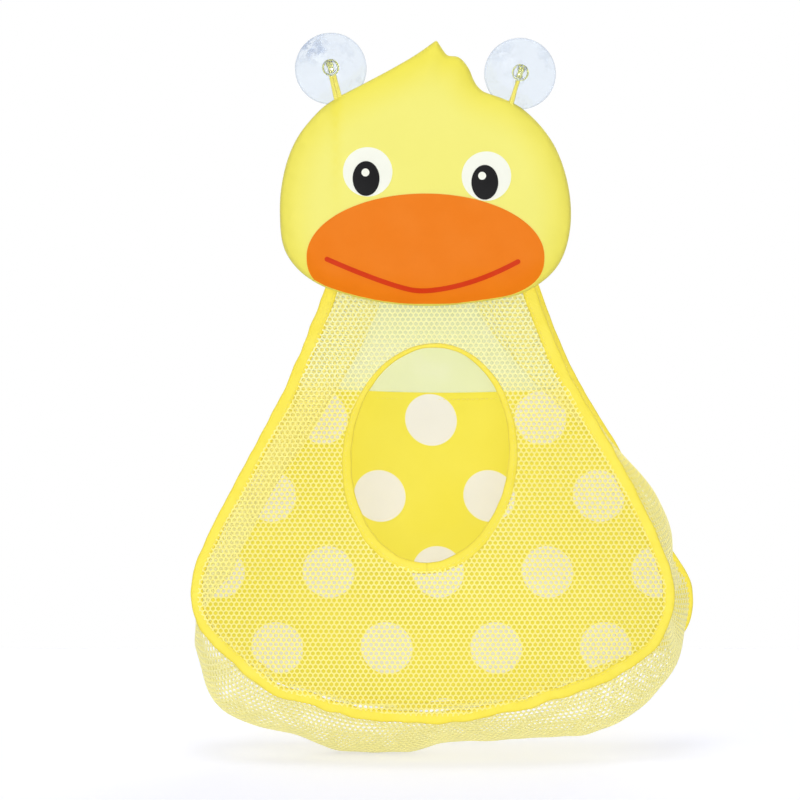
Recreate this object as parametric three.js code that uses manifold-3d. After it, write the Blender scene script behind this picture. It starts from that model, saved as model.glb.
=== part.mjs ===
// Bath toy organizer: a padded duck head over a mesh bag, hung on a wall by two suction cups.
// Millimetres, +Z up. The origin is on the wall, midway between the cups, and the front faces -Y.
// A "distance" below is measured from the wall, so a point at distance d has y = -d.
import * as THREE from 'three';
import { mergeVertices } from 'three/addons/utils/BufferGeometryUtils.js';
import Module from 'manifold-3d';

const wasm = await Module();
wasm.setup();

// Clearances
const SEAT = 0.3; // between pieces that are sewn or seated together
const PRINT_GAP = 0.25; // between a film and what it is pressed on

// Suction cups
const CUP_SPACING = 119.8;
const CUP_STEP = 3.2; // how much higher the left cup sits
const CUP_RADIUS = 22.7;
const CUP_LIP = 1.7; // width of the flat sealing lip
const CUP_LIP_THICKNESS = 0.9;
const CUP_HEIGHT = 11; // from the wall to the root of the neck
const CUP_WALL = 2.8; // at the crown of the bell
const BELL_POWER = 1.8; // how flat the bell is at its crown
const NECK_RADIUS = 3.6;
const KNOB_RADIUS = 5.4;
const KNOB_THICKNESS = 3;
const CUP_SIDES = 28;
const BELL_STEPS = 6;

// Hanging loops
const CORD = 1.8; // diameter
const CORD_PITCH = 2.1; // between the two strands in the cross hole
const LOOP_TUCK = 5; // length of cord sewn into the head's seam
const LOOP_STEPS = 56;
const LOOP_SIDES = [
  { side: 'left', way: -1, foot: -55.4, spread: 2.9 },
  { side: 'right', way: 1, foot: 54.3, spread: CORD_PITCH },
];

// Head
const PLY = 0.7; // thickness of the head's fabric
const EDGE_GAP = 2.2; // between the two plies at the seam, where the cords are sewn in
const FRONT_CROWN = 7.5;
const BACK_CROWN = 2;
const CROWN_WIDTH = 16; // the plies curve over this width from the seam
const HEAD_CENTRE = [0, -72];
const HEAD_TIP = [7, 18.6];
const TUFT_LEFT = [[-6, 10], [-20.5, 1.5], [-36, -6.8], [-55, -16.6]];
const HEAD_ROUND = [
  [-67, -25.3], [-81, -42.5], [-89, -63], [-92, -88], [-88.2, -115], [-69.5, -134], [-36, -145],
  [0, -148.8], [34, -146.2], [63, -139.8], [83.2, -124], [91.4, -100], [90, -72], [80, -45],
  [60.5, -23.6],
];
const TUFT_RIGHT = [[36, -12.4], [30.2, -7], [26.4, 1.2], [21.6, 7], [13.2, 9.6]];

// Face
const FILM = 0.3; // thickness of a pressed film
const EYE_RADIUS = 15.6;
const PUPIL_HALF = [8.5, 11];
const GLINT_RADIUS = 2.5;
const EYES = [
  { side: 'left', white: [-36.5, -64.3], pupil: [-37.5, -68.5], glint: [-37.9, -64.7] },
  { side: 'right', white: [38.4, -67], pupil: [37.4, -70.9], glint: [35.7, -66.8] },
];
const BEAK_CENTRE = [0, -117.6];
const BEAK_HALF_WIDTH = 75;
const BEAK_RISE = 39.6;
const BEAK_DROP = 29.8;
const BEAK_FULLNESS = 2.6; // power of the oval's lower half, where 2 is a plain oval
const SMILE_WIDTH = 3.1;
const SMILE_LOW = [-5, -139.6];
const SMILE_RISE = 20;
const SMILE_LEFT = { reach: 58, power: 1.25 }; // the left half is the straighter one
const SMILE_RIGHT = { reach: 64, power: 1.85 };

// Bag
const MESH = 0.6; // thickness of the knitted mesh
const BINDING_WIDTH = 5.3;
const BINDING_THICKNESS = 2.2;
const MOUTH_CENTRE = [2.8, -243.5];
const MOUTH_HALF = [49.5, 66.8]; // inside the binding
const MOUTH_LEAN = 3; // degrees that the top leans to the right
const BAG_SWELL = 88; // how far the filled front stands out from the neck
const SWELL_START = -125; // height where the front starts to swell
const SWELL_END = -370; // height where it stands out most
const SIDE_DROP = 0.35; // share of the swell that is lost towards the sides
const SIDE_REACH = 150;
const BOTTOM_DROP = 0.12; // share of the swell that is lost at the bottom seam
const FRONT_SEAM = [
  [-54, -117.3], [-66.8, -154], [-87.9, -204.4], [-115, -256.4], [-138, -302], [-144.6, -327],
  [-139.5, -349], [-120, -370.5], [-96, -389.5], [-71.5, -396.5], [-36.5, -405], [0, -407.5],
  [41.5, -403.5], [80.9, -392.8], [115.8, -379.4], [143, -361], [153.4, -330], [143, -294],
  [119.1, -246.3], [88.8, -193.3], [71, -150], [60, -117.3],
];
const BACK_WIDEN = 1.005; // the back panel is cut a little wider than the front
const BACK_SHIFT = 2.5; // the filled bag leans this far to the right
const BACK_RAISE = 6; // the back seam's lowest point is this much higher than the front's
const FOLD_LEFT = 32; // depth of the inward fold along the upper left side
const FOLD_RIGHT = 40; // and along the upper right side
const GUSSET_BULGE = 2.2; // how far the gusset is pushed out all round the bottom
const GUSSET_SAG = 13; // how far it hangs down there
const BULGES = [ // where it is pushed out further: share of the seam's length, width and distance
  { at: 0.341, width: 0.026, out: 12.4 },
  { at: 0.411, width: 0.087, out: 13.5 },
  { at: 0.615, width: 0.065, out: 16.3 },
  { at: 0.784, width: 0.099, out: 13.3 },
];
const FOLD_ENDS = [0.262, 0.312]; // share of the seam's length over which the left fold opens
const FOLD_STARTS = [0.8, 0.97]; // and over which the right fold closes again
const BACK_PLY = 0.7;
const BACK_JOIN = -198.8; // height of the top edge of the dotted fabric
const BACK_LAP = 8; // overlap of the two back fabrics
const WALL_CLEAR = 0.4; // between the bag's back and the wall
const NECK_TAPE_HEIGHT = 6;
const NET_ROWS = 4; // rows of coarse openings from the seam to the mouth, for the fine net's holes
const NET_BAR = 0.08; // width of the bar between two rows, as a share of the way to the mouth
const NET_OPEN = 0.75; // share of each row that is open
const SEAM_STEPS = 54;
const TOP_STEPS = 8;
const MOUTH_STEPS = 48;

// Places that follow from the sizes above
const HOLE_RADIUS = (CORD_PITCH + CORD) / 2 + SEAT;
const HOLE_DISTANCE = CUP_HEIGHT + SEAT + HOLE_RADIUS;
const HITCH_DISTANCE = HOLE_DISTANCE + CORD + 2 * SEAT;
const HITCH_RADIUS = NECK_RADIUS + CORD / 2 + SEAT;
const KNOB_DISTANCE = HITCH_DISTANCE + CORD / 2 + SEAT;
const SEAM_DISTANCE = HOLE_DISTANCE; // the loops hang straight down from the cross holes
const HEAD_BACK_DISTANCE = SEAM_DISTANCE - EDGE_GAP / 2 - PLY - BACK_CROWN;
const NECK_DISTANCE = HEAD_BACK_DISTANCE - SEAT - BINDING_THICKNESS / 2;
const BACK_SEAM_DISTANCE = WALL_CLEAR + BINDING_THICKNESS / 2;
const BINDING_INSET = BINDING_WIDTH / 2 + SEAT;

// Colours and finishes
const finish = (color, roughness, extra = {}) =>
  new THREE.MeshStandardMaterial({ color, roughness, metalness: 0, ...extra });
const FINISHES = {
  pvc: () => finish(0xeef5fd, 0.08, { transparent: true, opacity: 0.35 }),
  cord: () => finish(0xf2df55, 0.7),
  head: () => finish(0xf6f183, 0.75),
  foam: () => finish(0xf4f1e4, 0.95),
  orange: () => finish(0xef8424, 0.6),
  red: () => finish(0xd64412, 0.6),
  white: () => finish(0xf4f6eb, 0.55),
  black: () => finish(0x282727, 0.5),
  mesh: () => finish(0xf0e67a, 0.8),
  binding: () => finish(0xfaeb55, 0.7),
  dotted: () => finish(0xf3e75d, 0.8),
  sheer: () => finish(0xeef2be, 0.8),
};

const part = new THREE.Group();

function addPiece(name, geometry, material, parent = part) {
  const mesh = new THREE.Mesh(geometry, material);
  mesh.name = name;
  parent.add(mesh);
  return mesh;
}

// Closed solids from rings of points

function outward(geometry) {
  const at = geometry.getAttribute('position');
  const index = geometry.getIndex().array;
  const [a, b, c] = [new THREE.Vector3(), new THREE.Vector3(), new THREE.Vector3()];
  let volume = 0;
  for (let i = 0; i < index.length; i += 3) {
    a.fromBufferAttribute(at, index[i]);
    b.fromBufferAttribute(at, index[i + 1]);
    c.fromBufferAttribute(at, index[i + 2]);
    volume += a.dot(b.cross(c));
  }
  if (volume < 0) index.reverse();
  return geometry;
}

function closedGeometry(points, triangles) {
  const geometry = new THREE.BufferGeometry().setFromPoints(points);
  geometry.setIndex(triangles.flat());
  return outward(geometry);
}

function quad(a, b, c, d) {
  return [[a, b, c], [a, c, d]];
}

// Joins rings of equal length, one after another. The two sides of a thin ring are split along the
// same diagonals, so that a warped sheet keeps its thickness. A loop comes back to its first ring;
// otherwise both ends are closed with flat faces, cut across between opposite points.
function loft(rings, isLoop = false) {
  const n = rings[0].length;
  const triangles = [];
  const steps = isLoop ? rings.length : rings.length - 1;
  for (let i = 0; i < steps; i++) {
    const here = i * n;
    const next = ((i + 1) % rings.length) * n;
    for (let j = 0; j < n; j++) {
      const k = (j + 1) % n;
      const isFarSide = j >= n / 2;
      triangles.push(...(isFarSide
        ? quad(here + k, next + k, next + j, here + j)
        : quad(here + j, here + k, next + k, next + j)));
    }
  }
  if (!isLoop) {
    const last = (rings.length - 1) * n;
    for (let j = 0; j < n / 2 - 1; j++) {
      const corners = [j, n - 1 - j, n - 2 - j, j + 1];
      triangles.push(...quad(...corners));
      triangles.push(...quad(...corners.map((corner) => last + corner).reverse()));
    }
  }
  return closedGeometry(rings.flat(), triangles);
}

// Widens every second gap in a ring of points, at the cost of the gaps between.
function spreadPairs(row, amount) {
  const n = row.length;
  return row.map(([x, z], i) => {
    const [goalX, goalZ] = row[(i % 2 === 1 ? i + n - 1 : i + 1) % n];
    return [x + (goalX - x) * amount, z + (goalZ - z) * amount];
  });
}

// A sheet between two surfaces y = near(x, z) and y = far(x, z). It runs from an outer outline
// inwards, either to a hole's outline or to one centre point, with rings at the given shares. A
// net leaves every second quad open in every second row, and the open quads are the wider ones.
function sheet(outer, inner, shares, near, far, isNet = false) {
  const hasHole = Array.isArray(inner[0]);
  const n = outer.length;
  const flat = [];
  shares.forEach((share, ring) => {
    const row = outer.map(([x, z], i) => {
      const [goalX, goalZ] = hasHole ? inner[i] : inner;
      const amount = typeof share === 'function' ? share(Math.hypot(x - goalX, z - goalZ)) : share;
      return [x + (goalX - x) * amount, z + (goalZ - z) * amount];
    });
    const isEdge = ring === 0 || ring === shares.length - 1;
    flat.push(...(isNet && !isEdge ? spreadPairs(row, NET_OPEN - 0.5) : row));
  });
  if (!hasHole) flat.push(inner);
  const size = flat.length;
  const points = [near, far].flatMap((surface) =>
    flat.map(([x, z]) => new THREE.Vector3(x, surface(x, z), z)));
  const triangles = [];
  const addBoth = (a, b, c) => triangles.push([a, b, c], [size + a, size + c, size + b]);
  for (let ring = 0; ring < shares.length - 1; ring++) {
    for (let i = 0; i < n; i++) {
      const k = (i + 1) % n;
      const corners = [ring * n + i, ring * n + k, (ring + 1) * n + k, (ring + 1) * n + i];
      if (isNet && ring % 2 === 1 && i % 2 === 1) {
        corners.forEach((from, c) => {
          const to = corners[(c + 1) % 4];
          triangles.push(...quad(from, to, size + to, size + from));
        });
      } else {
        quad(...corners).forEach((face) => addBoth(...face));
      }
    }
  }
  const last = (shares.length - 1) * n;
  for (let i = 0; i < n; i++) {
    const k = (i + 1) % n;
    triangles.push(...quad(k, i, size + i, size + k));
    if (hasHole) triangles.push(...quad(last + i, last + k, size + last + k, size + last + i));
    else addBoth(last + i, last + k, size - 1);
  }
  return closedGeometry(points, triangles);
}

// Cutting and joining

function merged(geometry) {
  const bare = geometry.clone();
  bare.deleteAttribute('normal');
  bare.deleteAttribute('uv');
  return mergeVertices(bare, 1e-4);
}

function toSolid(geometry) {
  const whole = merged(geometry);
  return new wasm.Manifold(new wasm.Mesh({
    numProp: 3,
    vertProperties: new Float32Array(whole.getAttribute('position').array),
    triVerts: new Uint32Array(whole.getIndex().array),
  }));
}

function toGeometry(manifold) {
  const { vertProperties, triVerts } = manifold.getMesh();
  const geometry = new THREE.BufferGeometry();
  geometry.setAttribute('position', new THREE.BufferAttribute(vertProperties, 3));
  geometry.setIndex(new THREE.BufferAttribute(triVerts, 1));
  return geometry;
}

// A flat outline in x and z, made solid between two distances from the wall.
function prism(outline, near, far) {
  const shape = new THREE.Shape(outline.map(([x, z]) => new THREE.Vector2(x, z)));
  const geometry = new THREE.ExtrudeGeometry(shape, { depth: far - near, bevelEnabled: false });
  return geometry.rotateX(Math.PI / 2).translate(0, -near, 0);
}

function ellipse([x, z], [halfWidth, halfHeight], steps) {
  return Array.from({ length: steps }, (_, i) => {
    const turn = (i / steps) * 2 * Math.PI;
    return [x + halfWidth * Math.cos(turn), z + halfHeight * Math.sin(turn)];
  });
}

function rod(curve, diameter, sides, steps) {
  const section = new THREE.Shape(ellipse([0, 0], [diameter / 2, diameter / 2], sides)
    .map(([x, z]) => new THREE.Vector2(x, z)));
  return new THREE.ExtrudeGeometry(section, { steps, extrudePath: curve, bevelEnabled: false });
}

// Suction cup: a turned bell, neck and knob, with the hole for the cord across the neck

function cupGeometry() {
  const bell = (radius, edge, height) => height * (1 - (radius / edge) ** BELL_POWER);
  const lipInside = CUP_RADIUS - CUP_LIP;
  const cavity = CUP_HEIGHT - CUP_WALL;
  const steps = Array.from({ length: BELL_STEPS }, (_, i) => i / BELL_STEPS);
  const inside = steps.map((s) => [lipInside * s, bell(lipInside * s, lipInside, cavity)]);
  const shoulder = CUP_HEIGHT - CUP_LIP_THICKNESS;
  const outside = steps.map((s) => {
    const radius = CUP_RADIUS + (NECK_RADIUS - CUP_RADIUS) * s;
    return [radius, CUP_LIP_THICKNESS + bell(radius, CUP_RADIUS, shoulder)];
  });
  const top = KNOB_DISTANCE + KNOB_THICKNESS;
  const profile = [
    ...inside, [lipInside, 0], [CUP_RADIUS, 0], ...outside,
    [NECK_RADIUS, CUP_HEIGHT], [NECK_RADIUS, KNOB_DISTANCE], [KNOB_RADIUS, KNOB_DISTANCE],
    [KNOB_RADIUS, KNOB_DISTANCE + KNOB_THICKNESS * 0.55], [KNOB_RADIUS * 0.72, top - 0.3], [0, top],
  ];
  const turned = new THREE.LatheGeometry(
    profile.map(([radius, distance]) => new THREE.Vector2(radius, -distance)), CUP_SIDES);
  const body = toSolid(outward(merged(turned)));
  const drill = new THREE.CylinderGeometry(HOLE_RADIUS, HOLE_RADIUS, 4 * NECK_RADIUS, 20)
    .rotateX(Math.PI / 2).translate(0, -HOLE_DISTANCE, 0);
  return toGeometry(body.subtract(toSolid(drill)));
}

// Hanging loop, in its cup's own frame: up one side of the cross hole, once round the neck in
// front of both strands, and down the other side of the hole.

function loopCurve(reach, spread) {
  const half = CORD_PITCH / 2;
  const rise = [
    [spread / 2, HOLE_DISTANCE, -reach],
    [half, HOLE_DISTANCE, -HITCH_RADIUS - CORD],
    [half, HOLE_DISTANCE, 0],
    [half, HOLE_DISTANCE, NECK_RADIUS],
    [half + 0.3 * CORD, HOLE_DISTANCE + 0.3 * CORD, HITCH_RADIUS + 0.3 * CORD],
    [half + 0.9 * CORD, HOLE_DISTANCE + CORD, HITCH_RADIUS + 0.2 * CORD],
  ];
  const round = [-35, 0, 45].map((turn) => THREE.MathUtils.degToRad(turn)).map((turn) => [
    HITCH_RADIUS * Math.cos(turn), HITCH_DISTANCE, -HITCH_RADIUS * Math.sin(turn)]);
  const rightHalf = [...rise, ...round];
  const leftHalf = rightHalf.map(([x, distance, z]) => [-x, distance, z]).reverse();
  const route = [...rightHalf, [0, HITCH_DISTANCE, -HITCH_RADIUS], ...leftHalf];
  return new THREE.CatmullRomCurve3(
    route.map(([x, distance, z]) => new THREE.Vector3(x, -distance, z)), false, 'centripetal');
}

function smooth(points, steps) {
  const curve = new THREE.SplineCurve(points.map(([x, z]) => new THREE.Vector2(x, z)));
  return curve.getSpacedPoints(steps).map((p) => [p.x, p.y]);
}

const headOutline = [
  ...smooth([HEAD_TIP, ...TUFT_LEFT], 7).slice(0, -1),
  ...smooth([TUFT_LEFT.at(-1), ...HEAD_ROUND, TUFT_RIGHT[0]], 34).slice(0, -1),
  ...smooth([...TUFT_RIGHT, HEAD_TIP], 8).slice(0, -1),
];

function headEdgeHeight(x) {
  const crossings = headOutline.flatMap(([x0, z0], i) => {
    const [x1, z1] = headOutline[(i + 1) % headOutline.length];
    return (x0 - x) * (x1 - x) <= 0 ? [z0 + ((z1 - z0) * (x - x0)) / (x1 - x0)] : [];
  });
  return Math.max(...crossings);
}

const cup = cupGeometry();
const cordSlots = [];
for (const { side, way, foot, spread } of LOOP_SIDES) {
  const station = new THREE.Group();
  const [cupX, cupZ] = [(way * CUP_SPACING) / 2, (-way * CUP_STEP) / 2];
  const [acrossFoot, downFoot] = [foot - cupX, headEdgeHeight(foot) - cupZ];
  const reach = Math.hypot(acrossFoot, downFoot) + LOOP_TUCK;
  station.position.set(cupX, 0, cupZ);
  station.rotation.y = Math.atan2(-acrossFoot, -downFoot);
  part.add(station);
  station.updateMatrixWorld(true);
  addPiece(`suction_cup_${side}`, cup, FINISHES.pvc(), station);
  const curve = loopCurve(reach, spread);
  addPiece(`hanging_loop_${side}`, rod(curve, CORD, 8, LOOP_STEPS), FINISHES.cord(), station);
  for (const strand of [-1, 1]) {
    const from = new THREE.Vector3((strand * CORD_PITCH) / 2, -HOLE_DISTANCE, -HITCH_RADIUS);
    const to = new THREE.Vector3((strand * spread) / 2, -HOLE_DISTANCE, -reach);
    const end = to.clone().sub(from).setLength(2 * SEAT).add(to);
    const slot = rod(new THREE.LineCurve3(from, end), CORD + 3 * SEAT, 8, 1);
    cordSlots.push(slot.applyMatrix4(station.matrixWorld));
  }
}

// Head: two plies over a foam core, all on the same rings so that their facets stay parallel

function edgeDistance(x, z) {
  let least = Infinity;
  headOutline.forEach(([x0, z0], i) => {
    const [x1, z1] = headOutline[(i + 1) % headOutline.length];
    const along = ((x - x0) * (x1 - x0) + (z - z0) * (z1 - z0)) / ((x1 - x0) ** 2 + (z1 - z0) ** 2);
    const share = Math.min(1, Math.max(0, along));
    least = Math.min(least, Math.hypot(x0 + share * (x1 - x0) - x, z0 + share * (z1 - z0) - z));
  });
  return least;
}

function crown(x, z) {
  const slope = 1 - Math.min(1, edgeDistance(x, z) / CROWN_WIDTH);
  return Math.sqrt(1 - slope * slope);
}

const headFront = (x, z) => -(SEAM_DISTANCE + EDGE_GAP / 2 + PLY + FRONT_CROWN * crown(x, z));
const headBack = (x, z) => -(SEAM_DISTANCE - EDGE_GAP / 2 - PLY - BACK_CROWN * crown(x, z));
const moved = (surface, back) => (x, z) => surface(x, z) + back;
const RIM_RINGS = [0, 1.5, 5, 11].map((inset) => (length) => inset / length);
const CORE_RINGS = [0.25, 0.6];

function headSheet(near, far, firstRing = 0) {
  const rings = [...RIM_RINGS.slice(firstRing), ...CORE_RINGS];
  return sheet(headOutline, HEAD_CENTRE, rings, near, far);
}

const frontPly = headSheet(headFront, moved(headFront, PLY));
const backPly = headSheet(moved(headBack, -PLY), headBack);
const foam = headSheet(moved(headFront, PLY + SEAT), moved(headBack, -PLY - SEAT), 1);
const slottedFoam = cordSlots.reduce((rest, slot) => rest.subtract(toSolid(slot)), toSolid(foam));
addPiece('head_front_panel', frontPly, FINISHES.head());
addPiece('head_foam_insert', toGeometry(slottedFoam), FINISHES.foam());
addPiece('head_back_panel', backPly, FINISHES.head());

// Face: films cut out of a skin that follows the head's front, one layer on another

function film(outline, layer, cutters = []) {
  const lift = PRINT_GAP + layer * (FILM + PRINT_GAP);
  const skin = toSolid(headSheet(moved(headFront, -lift - FILM), moved(headFront, -lift)));
  const cutThrough = (shape) => toSolid(prism(shape, 0, 2 * (SEAM_DISTANCE + EDGE_GAP + FRONT_CROWN)));
  const piece = skin.intersect(cutThrough(outline));
  return toGeometry(cutters.reduce((rest, cutter) => rest.subtract(cutThrough(cutter)), piece));
}

function beakOutline(grow) {
  return ellipse([0, 0], [1, 1], 48).map(([across, up]) => {
    const power = up < 0 ? 2 / BEAK_FULLNESS : 1;
    const half = (up < 0 ? BEAK_DROP : BEAK_RISE) + grow;
    const [right, high] = [across, up].map((part) => Math.sign(part) * Math.abs(part) ** power);
    return [BEAK_CENTRE[0] + (BEAK_HALF_WIDTH + grow) * right, BEAK_CENTRE[1] + half * high];
  });
}

function smileOutline() {
  const steps = 16;
  const [lowX, lowZ] = SMILE_LOW;
  const line = Array.from({ length: steps + 1 }, (_, i) => {
    const across = (2 * i) / steps - 1;
    const { reach, power } = across < 0 ? SMILE_LEFT : SMILE_RIGHT;
    return [lowX + reach * across, lowZ + SMILE_RISE * Math.abs(across) ** power];
  });
  const edge = (way) => line.map(([x, z], i) => {
    const [x0, z0] = line[Math.max(0, i - 1)];
    const [x1, z1] = line[Math.min(steps, i + 1)];
    const length = Math.hypot(x1 - x0, z1 - z0);
    const half = (way * SMILE_WIDTH) / 2;
    return [x - (half * (z1 - z0)) / length, z + (half * (x1 - x0)) / length];
  });
  return [...edge(-1), ...edge(1).reverse()];
}

addPiece('beak', film(beakOutline(0), 0), FINISHES.orange());
addPiece('smile_line', film(smileOutline(), 1), FINISHES.red());
for (const { side, white, pupil, glint } of EYES) {
  const whiteOutline = ellipse(white, [EYE_RADIUS, EYE_RADIUS], 32);
  const glintOutline = ellipse(glint, [GLINT_RADIUS, GLINT_RADIUS], 16);
  addPiece(`eye_white_${side}`, film(whiteOutline, 0, [beakOutline(SEAT)]), FINISHES.white());
  addPiece(`eye_pupil_${side}`, film(ellipse(pupil, PUPIL_HALF, 28), 1), FINISHES.black());
  addPiece(`eye_glint_${side}`, film(glintOutline, 2), FINISHES.white());
}

// Bag: the front's swell, the two seams and what is sewn between them

const seamTop = FRONT_SEAM[0][1];
const seamLow = Math.min(...FRONT_SEAM.map((point) => point[1]));

function bagFront(x, z) {
  const down = Math.min(1, Math.max(0, (SWELL_START - z) / (SWELL_START - SWELL_END)));
  const rise = (1 - Math.cos(Math.PI * down)) / 2;
  const below = Math.max(0, (SWELL_END - z) / (SWELL_END - seamLow));
  const side = 1 - SIDE_DROP * ((x - MOUTH_CENTRE[0]) / SIDE_REACH) ** 2;
  return -(NECK_DISTANCE + BAG_SWELL * rise * side * (1 - BOTTOM_DROP * below * below));
}

// Stations along a seam, from the left end of the neck round the bottom to its right end: where
// each is, and which way is out of the bag there. Both ends are cut level.
function seamStations(points) {
  const at = smooth(points, SEAM_STEPS);
  return at.map(([x, z], i) => {
    if (i === 0) return { x, z, outX: -1, outZ: 0 };
    if (i === SEAM_STEPS) return { x, z, outX: 1, outZ: 0 };
    return { x, z, ...outOf(at[i - 1], at[i + 1]) };
  });
}

// The way out to the right of a step from one point to the next.
function outOf([x0, z0], [x1, z1]) {
  const length = Math.hypot(x1 - x0, z1 - z0);
  return { outX: (z1 - z0) / length, outZ: -(x1 - x0) / length };
}

const frontSeam = seamStations(FRONT_SEAM);
const backSeam = seamStations(FRONT_SEAM.map(([x, z]) => [
  x * BACK_WIDEN + BACK_SHIFT, z + (BACK_RAISE * (seamTop - z)) / (seamTop - seamLow)]));

// A folded tape: a flat band with rounded edges, lying across "out" and the wall's normal.
function band(stations, distanceOf, isLoop = false) {
  const [w, t] = [BINDING_WIDTH / 2, BINDING_THICKNESS / 2];
  const section = [[-w, -t / 2], [-w / 2, -t], [w / 2, -t], [w, -t / 2],
    [w, t / 2], [w / 2, t], [-w / 2, t], [-w, t / 2]];
  return loft(stations.map((s) => section.map(([out, back]) =>
    new THREE.Vector3(s.x + out * s.outX, back - distanceOf(s), s.z + out * s.outZ))), isLoop);
}

const inset = (stations, by) => stations.map((s) => [s.x - by * s.outX, s.z - by * s.outZ]);
const frontDistance = (s) => -bagFront(s.x, s.z);

function closedOutline(stations) {
  const side = inset(stations, BINDING_INSET);
  const [first, last] = [side[0], side.at(-1)];
  const top = Array.from({ length: TOP_STEPS - 1 }, (_, i) => {
    const share = (i + 1) / TOP_STEPS;
    return [last[0] + (first[0] - last[0]) * share, last[1] + (first[1] - last[1]) * share];
  });
  return [...side, ...top];
}

// The mouth's outline, grown outwards, at the way from its centre that each point gives.
function mouthEdge(grow, points) {
  const [halfWidth, halfHeight] = MOUTH_HALF.map((half) => half + grow);
  const lean = THREE.MathUtils.degToRad(MOUTH_LEAN);
  return points.map(([x, z]) => {
    const [right, up] = [x - MOUTH_CENTRE[0], z - MOUTH_CENTRE[1]];
    const acrossOval = right * Math.cos(lean) - up * Math.sin(lean);
    const alongOval = right * Math.sin(lean) + up * Math.cos(lean);
    const scale = 1 / Math.hypot(acrossOval / halfWidth, alongOval / halfHeight);
    return [MOUTH_CENTRE[0] + right * scale, MOUTH_CENTRE[1] + up * scale];
  });
}

function frontPanel() {
  const outer = closedOutline(frontSeam);
  const inner = mouthEdge(BINDING_WIDTH + SEAT, outer);
  const opening = (1 - NET_BAR) / NET_ROWS - NET_BAR;
  const rows = Array.from({ length: NET_ROWS }, (_, i) => (i + 1) * NET_BAR + i * opening);
  const rings = [0, ...rows.flatMap((start) => [start, start + opening]), 1];
  return sheet(outer, inner, rings, moved(bagFront, -MESH / 2), moved(bagFront, MESH / 2), true);
}

function mouthBinding() {
  const middle = mouthEdge(BINDING_WIDTH / 2, ellipse(MOUTH_CENTRE, MOUTH_HALF, MOUTH_STEPS));
  const stations = middle.map(([x, z], i) => {
    const before = middle[(i + middle.length - 1) % middle.length];
    return { x, z, ...outOf(before, middle[(i + 1) % middle.length]) };
  });
  return band(stations, frontDistance, true);
}

function ease(value, [from, to]) {
  return THREE.MathUtils.smoothstep(value, from, to);
}

// The gusset's strip, from behind the front binding to in front of the back binding. Its middle
// is folded inwards along the upper sides and pushed outwards round the bottom.
function gusset() {
  const across = 6;
  const lines = frontSeam.map((front, i) => {
    const back = backSeam[i];
    const behind = BINDING_THICKNESS / 2 + SEAT + MESH / 2;
    const from = new THREE.Vector3(front.x, bagFront(front.x, front.z) + behind, front.z);
    const to = new THREE.Vector3(back.x, -BACK_SEAM_DISTANCE - behind, back.z);
    const along = i / SEAM_STEPS;
    const open = ease(along, FOLD_ENDS) * (1 - ease(along, FOLD_STARTS));
    const bulge = BULGES.reduce((sum, { at, width, out }) =>
      sum + out * Math.exp(-(((along - at) / width) ** 2)), GUSSET_BULGE);
    const fold = along < 0.5 ? FOLD_LEFT : FOLD_RIGHT;
    const push = -fold + (fold + bulge) * open;
    return Array.from({ length: across + 1 }, (_, j) => {
      const share = j / across;
      const bow = new THREE.Vector3(front.outX * push, 0, front.outZ * push - GUSSET_SAG * open);
      return from.clone().lerp(to, share).addScaledVector(bow, Math.sin(Math.PI * share));
    });
  });
  const rings = lines.map((line, i) => {
    const before = lines[Math.max(0, i - 1)];
    const after = lines[Math.min(SEAM_STEPS, i + 1)];
    const normals = line.map((_, j) => {
      const acrossWay = line[Math.min(across, j + 1)].clone().sub(line[Math.max(0, j - 1)]);
      return after[j].clone().sub(before[j]).cross(acrossWay).setLength(MESH / 2);
    });
    const outside = line.map((p, j) => p.clone().add(normals[j]));
    const inside = line.map((p, j) => p.clone().sub(normals[j]));
    return [...outside, ...inside.reverse()];
  });
  return loft(rings);
}

function backPanel(near, from, to) {
  const whole = toSolid(prism(closedOutline(backSeam), near, near + BACK_PLY));
  const wide = 2 * SIDE_REACH;
  const slab = prism([[-wide, from], [wide, from], [wide, to], [-wide, to]], near - 1, near + 2);
  return toGeometry(whole.intersect(toSolid(slab)));
}

function neckTape() {
  const left = frontSeam[0].x;
  const right = frontSeam.at(-1).x;
  const bottom = seamTop + SEAT;
  const top = bottom + NECK_TAPE_HEIGHT;
  return prism([[left, bottom], [right, bottom], [right, top], [left, top]],
    BACK_SEAM_DISTANCE - BINDING_THICKNESS / 2, HEAD_BACK_DISTANCE - SEAT);
}

const dottedPanel = backPanel(BACK_SEAM_DISTANCE + SEAT / 2, seamLow, BACK_JOIN);
const upperPanel = backPanel(BACK_SEAM_DISTANCE - SEAT / 2 - BACK_PLY, BACK_JOIN - BACK_LAP, seamTop);
addPiece('front_mesh_panel', frontPanel(), FINISHES.mesh());
addPiece('mouth_binding', mouthBinding(), FINISHES.binding());
addPiece('front_seam_binding', band(frontSeam, frontDistance), FINISHES.binding());
addPiece('gusset_mesh', gusset(), FINISHES.mesh());
addPiece('back_seam_binding', band(backSeam, () => BACK_SEAM_DISTANCE), FINISHES.binding());
addPiece('back_panel_dotted', dottedPanel, FINISHES.dotted());
addPiece('back_panel_upper', upperPanel, FINISHES.sheer());
addPiece('neck_tape', neckTape(), FINISHES.binding());

export default part;
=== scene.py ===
# %% [markdown]
# # Bath toy organizer
# A net bag in the shape of a duck hangs on a tiled wall from two clear suction cups. This lesson
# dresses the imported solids: every soft solid gets a sewn, knitted or moulded piece in its place.
# All sizes below are in millimetres, and one helper turns them into Blender's metres.

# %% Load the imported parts
import math

import bpy
import numpy as np
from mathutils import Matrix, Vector, geometry, noise
from mathutils.bvhtree import BVHTree


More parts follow.
